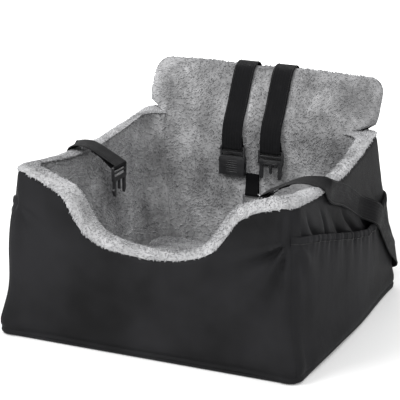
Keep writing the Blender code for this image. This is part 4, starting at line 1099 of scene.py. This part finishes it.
strap_standoff, strap_arch, tail_reach, tail_drop = 0.0062, 0.008, 0.090, 0.012
anchor_height, patch_size = 0.034, 0.044
headrest_bar_height, headrest_anchor_height = 0.232, 0.200
buckle_plate, buckle_bar, loop_clearance = 0.0045, 0.003, 0.0008
loop_radius = math.hypot(buckle_bar, buckle_plate) / 2.0 + loop_clearance + webbing_thickness / 2.0
doubled = webbing_thickness + 2.0 * fit_gap
crossing = {"left": 0.404, "right": 0.30}
drift = {"left": 0.010, "right": 0.022}
side_blend_rounds, webbing_steps, webbing_across = 43, 8, 10
run_shares = (
    (0.057, 0.335), (0.229, 0.53), (0.329, 0.61), (0.429, 0.672), (0.571, 0.75), (0.743, 0.84), (0.92, 0.905))
tail_shares = (
    (-0.055, 0.1, -0.85), (0.02, 0.64, -0.5), (0.18, 0.93, -0.2), (0.36, 1.0, 0.05), (0.54, 0.76, 0.4),
    (0.73, 0.3, 0.55))
rise_shares = (0.0, 0.3, 0.62, 0.8, 0.93)
plush_room = 0.0022
x_way, y_way, z_way = np.eye(3)
rear_up = unit(np.array((0.0, rear_rim_height, rim_rear_lean)))


def spot_off(section, share, height, standoff, inside=False):
    radius = lining_radius if inside else corner_radius
    flat, inward = outline_spot(corners_at(height, inside), radius, section, share)
    return np.append(flat - inward * standoff, height)


def smooth_curve(points, steps):
    """A smooth curve through the points, with no wide swing where two of them are close."""
    points = np.array(points, float)
    ends = np.concatenate([points[:1] * 2.0 - points[1:2], points, points[-1:] * 2.0 - points[-2:-1]])
    gaps = np.linalg.norm(np.diff(ends, axis=0), axis=1)
    slopes = unit(ends[2:] - ends[:-2]) * np.minimum(gaps[:-1], gaps[1:])[:, None]
    t = (np.arange(steps) / steps)[None, :, None]
    curve = lerp(points[:-1, None], points[1:, None], ease(t))
    curve += slopes[:-1, None] * t * (1.0 - t) ** 2 - slopes[1:, None] * t * t * (1.0 - t)
    return np.concatenate([curve.reshape(-1, 3), points[-1:]])


def loop_stops(bar, ahead, face):
    turns = np.radians(np.linspace(0.0, 180.0, 5))
    spokes = [face * math.cos(turn) + ahead * math.sin(turn) for turn in turns]
    return [(bar + spoke * loop_radius, spoke) for spoke in spokes]


def ribbon(name, stops, replaced):
    """Webbing through the stops, each a centre and the way its face looks, thinner at its edges."""
    centres = smooth_curve([centre for centre, _ in stops], webbing_steps)
    looks = smooth_curve([unit(look) for _, look in stops], webbing_steps)
    ahead = unit(np.gradient(centres, axis=0))
    side = unit(np.cross(looks, ahead))
    for _ in range(side_blend_rounds):
        padded = np.concatenate([side[:1], side, side[-1:]])
        side = unit(padded[:-2] + side * 2.0 + padded[2:])
    face = unit(np.cross(ahead, side))
    places = np.linspace(0.5, -0.5, webbing_across + 1)
    rounding = np.sqrt(np.clip(1.0 - np.abs(places * 2.0) ** 8, 0.0, 1.0)) * 0.75 + 0.25
    middle = centres[:, None] + side[:, None] * (places * webbing_width)[None, :, None]
    thick = face[:, None] * (webbing_thickness / 2.0 * rounding)[None, :, None]
    ring = np.concatenate([middle + thick, (middle - thick)[:, ::-1]], axis=1)
    count, around = ring.shape[:2]
    across = np.concatenate([places, places[::-1]]) * webbing_width
    uv = np.column_stack([np.repeat(distances(centres), around), np.tile(across, count)])
    mesh = mesh_of(name, ring.reshape(-1, 3), sweep_faces(count, around, flip=True), uv, sharp=60.0)
    recalculate(link(name, mesh, webbing_look, (replaced,)))
    return centres, face, side


def pocket_standoff(share, height):
    progress = progress_of(RIGHT, share)
    mouth = float(mouth_height(progress))
    if height - webbing_width / 2.0 > mouth + elastic_width:
        return 0.0
    rise = min(max((height + webbing_width / 4.0) / mouth, 0.0), 1.0)
    return float(pocket_cavity(progress, rise)) + pocket_cloth + fit_gap


def cad_rim(share):
    dip = side_dip * float(np.interp(share, *dip_shares.T))
    return lerp(corner_height, rear_rim_height, share) - dip


def side_strap(side):
    """The stops of a side strap drawn on the right, from behind over the rim to its bar, and that bar."""
    cross = crossing[side]
    out = unit(np.array((rear_rim_height, 0.0, (base_width - rim_rear_width) / 4.0)))
    flat = webbing_thickness / 2.0 + 3.0 * fit_gap
    stops = [
        (spot_off(REAR, 0.2, anchor_height, flat), rear_up),
        (spot_off(REAR, 0.1, anchor_height, flat), rear_up),
        (spot_off(REAR, 0.02, anchor_height * 1.15, strap_standoff * 1.6), rear_up),
        (spot_off(REAR_RIGHT, 0.5, anchor_height * 1.6, strap_standoff * 2.4), rear_up + out),
    ]
    for way, height_share in run_shares:
        share, height = lerp(1.0, cross, way), rear_rim_height * height_share
        stops.append((spot_off(RIGHT, share, height, strap_standoff + pocket_standoff(share, height)), out))
    rim = spot_off(RIGHT, cross, cad_rim(cross), 0.0)
    for reach, height, face in tail_shares:
        moved = drift[side] * (1.0 - (1.0 - min(reach / 0.6, 1.0)) ** 2)
        offset = (-tail_reach * reach, -moved, (rim_roll_height + strap_arch) * height)
        stops.append((rim + offset, np.array((-face, 0.0, 1.0 - abs(face)))))
    bar = rim + (-tail_reach, -drift[side], -tail_drop)
    ahead = unit((bar - stops[-1][0]) * (1.0, 0.0, 1.0))
    back = [(centre - unit(look) * doubled, -unit(look)) for centre, look in reversed(stops[-2:])]
    return stops + loop_stops(bar, ahead, np.array((ahead[2], 0.0, -ahead[0]))) + back, bar


def box_stitch(centre, face, across, along, half_across, half_along):
    """Paths of a sewn box with a cross in it."""
    corners = [(-1, -1), (1, -1), (1, 1), (-1, 1), (-1, -1), (1, 1), (1, -1), (-1, 1)]
    points = np.array([centre + across * half_across * a + along * half_along * b for a, b in corners])
    shares = np.linspace(0.0, 1.0, 6)[:, None]
    lines = [start + (end - start) * shares for start, end in zip(points, points[1:])]
    return [(line, np.broadcast_to(face, line.shape)) for line in lines]


def strap_seams(centres, face, across, place, half_along, end):
    """Stitches of a strap: a box where it is sewn on, and a row along each edge up to its buckle."""
    top = centres + face * webbing_thickness * 0.5
    along = unit(centres[place + 1] - centres[place - 1])
    paths = box_stitch(top[place], face[place], across[place], along, 0.015, half_along)
    edges = [top + across * (webbing_width * edge) for edge in (-0.43, 0.43)]
    return paths + [(edge[:end], face[:end]) for edge in edges]


strap_paths, bars = [], {}
for side, turn in (("right", np.ones(3)), ("left", mirror)):
    stops, bar = side_strap(side)
    bars[side] = bar * turn
    stops = [(centre * turn, look * turn) for centre, look in stops]
    strap = ribbon(f"{side}_side_strap", stops, f"{side}_strap")
    strap_paths += strap_seams(*strap, 5, 0.014, -61)


def patch(side):
    """The square of doubled webbing over a strap's sewn end; returns its stitches' paths."""
    standoff = webbing_thickness + 5.0 * fit_gap
    places = np.linspace(-0.5, 0.5, 13)
    heights = anchor_height + patch_size * places
    middles = np.array([spot_off(REAR, 0.15, height, standoff) for height in heights])
    far = middles[:, None] - (places * patch_size)[None, :, None] * x_way
    border = np.minimum(np.arange(13), 12 - np.arange(13))
    edge = np.minimum.outer(border, border)
    near = far + rear_up * (0.0006 + 0.0010 * np.minimum(edge / 1.5, 1.0))[..., None]
    near, far = handed(side, near), handed(side, far)
    name = f"{side}_anchor_patch"
    points, faces, uv = shell(near, far)
    link(name, mesh_of(name, points, faces, uv), webbing_look, (f"{side}_strap_patch",))
    return box_stitch(near[6, 6], rear_up, x_way, z_way, 0.0175, 0.0175)


patch_paths = patch("right") + patch("left")


def core_half(place, height):
    share = (height - shoulder) / (back_top_height - shoulder)
    full = (1.0 - abs(place) ** 6) * (1.0 - max(share, 0.0) ** 12)
    return lerp(back_edge_core, back_core, full) / 2.0


def recline_spot(place, height, forward):
    spot = recline_start + recline_up * (height - shoulder) / recline_up[2] + recline_ahead * forward
    spot[0] = place * back_top_width / 2.0
    return spot


def headrest_strap(side, sign):
    """A strap over the top of the back, sewn behind, hanging in front with its buckle.

    Returns its stitches' paths.
    """
    off = webbing_thickness / 2.0 + fit_gap
    behind_off = off + 3.0 * fit_gap
    place = headrest_spacing / back_top_width
    x = sign * headrest_spacing / 2.0
    heights = [lerp(shoulder + back_shoulder, back_top_height, share) for share in rise_shares]
    share = (1.0 - sign * headrest_spacing / rim_rear_width) / 2.0
    stops = []
    for height in (headrest_anchor_height, lerp(headrest_anchor_height, rear_rim_height, 0.5)):
        stops.append((np.append(x, spot_off(REAR, share, height, behind_off)[1:]), y_way))
    for height in heights[1:]:
        behind = core_half(place, height) + board + 2.0 * fit_gap + cloth + behind_off
        stops.append((recline_spot(sign * place, height, -behind), -recline_ahead))
    stops.insert(2, ((stops[1][0] + stops[2][0]) / 2.0, y_way))
    top = recline_spot(sign * place, back_top_height, 0.0)
    for lift, way in ((1.4, -1.0), (1.9, 1.0)):
        look = recline_up * 2.0 + recline_ahead * way
        stops.append((top + recline_up * behind_off * lift + recline_ahead * plush * way, look))
    for height in reversed(heights):
        before = core_half(place, height) + plush + off + 2.0 * fit_gap + plush_room
        stops.append((recline_spot(sign * place, height, before), recline_ahead))
    face_y = spot_off(REAR, 0.5, headrest_bar_height, 0.0, True)[1]
    bar = np.array((x, face_y - loop_radius - webbing_thickness - 0.0008, headrest_bar_height))
    rim_y = spot_off(REAR, 0.5, rear_rim_height, 0.0, True)[1]
    bend = np.array((x, rim_y - off - 4.0 * fit_gap, rear_rim_height))
    drop = np.array((x, bar[1] - loop_radius, lerp(bar[2], bend[2], 0.45)))
    stops += [(bend, -y_way), (drop, -y_way)] + loop_stops(bar, -z_way, -y_way)
    stops.append((drop + y_way * doubled, y_way))
    bars[f"headrest_{side}"] = bar
    strap = ribbon(f"{side}_headrest_webbing", stops, f"{side}_headrest_strap")
    return strap_seams(*strap, 4, 0.010, -56)


strap_paths += headrest_strap("right", 1.0) + headrest_strap("left", -1.0)
stitches("strap_stitching", strap_paths, length=0.0026, gap=0.0012, radius=0.0003)
stitches("patch_stitching", patch_paths, length=0.0026, gap=0.0012, radius=0.0003)
stitches("pocket_stitching", seams, lift=0.0006)


# Buckles, ring and zip


def joined(node):
    """A copy of a CAD solid's mesh without doubled points, open for more work."""
    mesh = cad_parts[node].data.copy()
    mesh.materials.clear()
    work = bmesh.new()
    work.from_mesh(mesh)
    bmesh.ops.remove_doubles(work, verts=work.verts, dist=0.00002)
    return mesh, work


def refined(node, name, body, material, bevel):
    """The CAD solid with its flat faces joined and its edges rounded."""
    mesh, work = joined(node)
    bmesh.ops.dissolve_limit(work, angle_limit=math.radians(1.0), verts=work.verts, edges=work.edges)
    work.to_mesh(mesh)
    work.free()
    made = link(name, mesh, material, (node,), body)
    change = made.modifiers.new("edges", "BEVEL")
    change.width, change.segments = bevel, 3
    change.limit_method, change.angle_limit = "ANGLE", math.radians(25.0)
    change.use_clamp_overlap = True
    graph = bpy.context.evaluated_depsgraph_get()
    rounded = bpy.data.meshes.new_from_object(made.evaluated_get(graph))
    made.modifiers.clear()
    made.data = rounded
    made.data.shade_smooth()
    made.data.set_sharp_from_angle(angle=math.radians(40.0))


def ribs(name, origin, across, out, places, half_across, half_up, rise, body):
    """Raised grip ribs on a buckle, each a softly rounded bar."""
    vertices, faces = [], []
    for place in places:
        faces += sweep_faces(4, 8, len(vertices))
        for end in (-1.0, -0.8, 0.8, 1.0):
            size = 0.35 if abs(end) == 1.0 else 1.0
            centre = origin + z_way * place + across * half_across * end
            for turn in np.radians(np.linspace(0.0, 360.0, 9)[:-1]):
                spoke = z_way * half_up * math.cos(turn) + out * rise * math.sin(turn)
                vertices.append(centre + spoke * size)
    recalculate(link(name, mesh_of(name, vertices, faces), plastic_look, body=body))


# Each kind's grip: how far off the bar and below it, and its ribs' places, half width, half height and rise
grips = {
    "plug": (buckle_plate / 2.0, 0.0195, (-0.0022, 0.0, 0.0022), 0.014, 0.0006, 0.0007),
    "socket": (0.00625, 0.0335, np.linspace(-0.010, 0.010, 6), 0.011, 0.0008, 0.0008)}
for node, body, bar, across, look in (
        ("left_plug", "left_buckle", bars["left"], -y_way, x_way),
        ("right_socket", "right_buckle", bars["right"], y_way, -x_way),
        ("headrest_plug", "headrest_right_buckle", bars["headrest_right"], x_way, -y_way),
        ("headrest_socket", "headrest_left_buckle", bars["headrest_left"], x_way, -y_way)):
    refined(node, f"{node}_moulding", body, plastic_look, 0.0006)
    off, below, *grip = grips[node.split("_")[1]]
    for face, tag in ((look, "front"), (-look, "back")):
        ribs(f"{node}_{tag}_ribs", bar + face * off - z_way * below, across, face, *grip, body)

mesh, work = joined("tether_ring")
bmesh.ops.subdivide_edges(work, edges=work.edges, cuts=1, use_grid_fill=True)
work.to_mesh(mesh)
work.free()
mesh.shade_smooth()
link("tether_ring_wire", mesh, steel_look, ("tether_ring",), "ring")

for node in ("ring_tab", "zip_tape"):
    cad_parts[node].data.materials.clear()
    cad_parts[node].data.materials.append(webbing_look)
refined("zip_slider", "zip_slider_body", "slider", steel_look, 0.0004)
refined("zip_pull", "zip_pull_tab", "pull", steel_look, 0.0004)


def zip_teeth():
    """The closed coil, two rows of bent loops that mesh; returns the paths of the tape's stitches."""
    low, high = (np.array(corner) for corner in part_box("zip_coil"))
    tape_low, tape_high = (np.array(corner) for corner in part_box("zip_tape"))
    middle, tape_middle = (low + high) / 2.0, (tape_low + tape_high) / 2.0
    vertices, faces = [], []
    lean = rim_rear_lean / rear_rim_height
    length = high[0] - low[0]
    count = int(length / 0.0022)
    for index in range(count):
        x = low[0] + (index + 0.5) * length / count
        side = 1.0 if index % 2 else -1.0
        faces += sweep_faces(6, 4, len(vertices), True)
        for place in np.linspace(-0.35, 1.0, 6):
            z = side * place * 0.0025
            y = middle[1] + 0.0001 + 0.0007 * math.cos(place * 1.3) - lean * z
            width = 0.00075 if place < 0.0 else 0.0006
            for a, b in ((1.0, 0.0), (0.0, 1.0), (-1.0, 0.0), (0.0, -1.0)):
                vertices.append((x + width * a, y + 0.0005 * b, middle[2] + z))
    mesh = mesh_of("zip_coil_loops", vertices, faces)
    recalculate(link("zip_coil_loops", mesh, plastic_look, ("zip_coil",)))
    paths = []
    for z in (-0.0118, 0.0118):
        path = np.linspace(tape_low, tape_high, 60)
        path[:, 0] = np.linspace(tape_low[0] + 0.004, tape_high[0] - 0.004, 60)
        path[:, 1:] = tape_middle[1] + 0.0007 - lean * z, tape_middle[2] + z
        paths.append((path, np.broadcast_to(y_way, path.shape)))
    return paths


stitches("zip_stitching", zip_teeth(), lift=0.0003)


# Studio

white = (1.0, 1.0, 1.0, 1.0)


def floor_material():
    """Pale seamless paper, shown white where no shadow falls."""
    make = Nodes("pale_floor", grey(0.84), 0.8)
    make.feed("Base Color", make.colours(make.noise(3.0, 2.0), (0.3, grey(0.83)), (0.7, grey(0.85))))
    away = make.add("ShaderNodeVectorMath", {0: make.place}, operation="LENGTH").outputs["Value"]
    glow = make.math("MULTIPLY", make.spread(away, 0.35, 1.6, 0.2, 0.75), seen_directly(make.tree))
    make.set("Emission Color", white)
    make.feed("Emission Strength", glow)
    return make.material


floor_mesh = bpy.data.meshes.new("studio_floor")
edge = 12.0
corners = [(x * edge, y * edge, -0.0004) for x, y in ((-1, -1), (1, -1), (1, 1), (-1, 1))]
floor_mesh.from_pydata(corners, [], [(0, 1, 2, 3)])
studio = bpy.data.objects.new("studio_floor", floor_mesh)
studio.data.materials.append(floor_material())
bpy.context.scene.collection.objects.link(studio)


def placed(name, data, place, target):
    """A lamp or camera at a place, turned towards its target."""
    made = bpy.data.objects.new(name, data)
    made.location = place
    made.rotation_euler = (Vector(target) - made.location).to_track_quat("-Z", "Y").to_euler()
    bpy.context.scene.collection.objects.link(made)
    return made


def softbox(name, place, target, size, power):
    lamp = bpy.data.lights.new(name, "AREA")
    lamp.shape, lamp.size, lamp.size_y, lamp.energy = "RECTANGLE", size[0], size[1], power
    placed(name, lamp, place, target)


softbox("key", (-1.0, -1.5, 2.1), (0.0, 0.0, 0.15), (0.9, 0.9), 30.0)
softbox("fill", (1.2, -2.4, 2.2), (0.0, 0.0, 0.15), (0.8, 0.8), 36.0)
softbox("rear", (-1.0, 2.0, 1.8), (0.0, 0.0, 0.2), (1.2, 0.9), 14.0)

world = bpy.data.worlds.new("studio")
bpy.context.scene.world = world
world.use_nodes = True
tree = world.node_tree
tree.nodes.clear()
up = add_node(tree, "ShaderNodeTexCoord").outputs["Generated"]
up = add_node(tree, "ShaderNodeSeparateXYZ", {0: up}).outputs["Z"]
overhead = {"Value": up, "From Min": 0.1, "From Max": 0.9, "To Min": 0.12, "To Max": 1.0}
overhead = add_node(tree, "ShaderNodeMapRange", overhead).outputs["Result"]
light = add_node(tree, "ShaderNodeBackground", {"Color": white, "Strength": overhead}).outputs[0]
shown = add_node(tree, "ShaderNodeBackground", {"Color": white, "Strength": 1.0}).outputs[0]
mixer = add_node(tree, "ShaderNodeMixShader", {0: seen_directly(tree), 1: light, 2: shown})
add_node(tree, "ShaderNodeOutputWorld", {"Surface": mixer.outputs[0]})

camera_data = bpy.data.cameras.new("camera")
camera_data.sensor_width, camera_data.lens = 36.0, 162.0
camera_place, camera_target = (1.1805, -2.5924 + frame_shift, 1.0878), (-0.0152, frame_shift, 0.1895)
bpy.context.scene.camera = placed("camera", camera_data, camera_place, camera_target)
bpy.context.scene.view_settings.view_transform = "Standard"
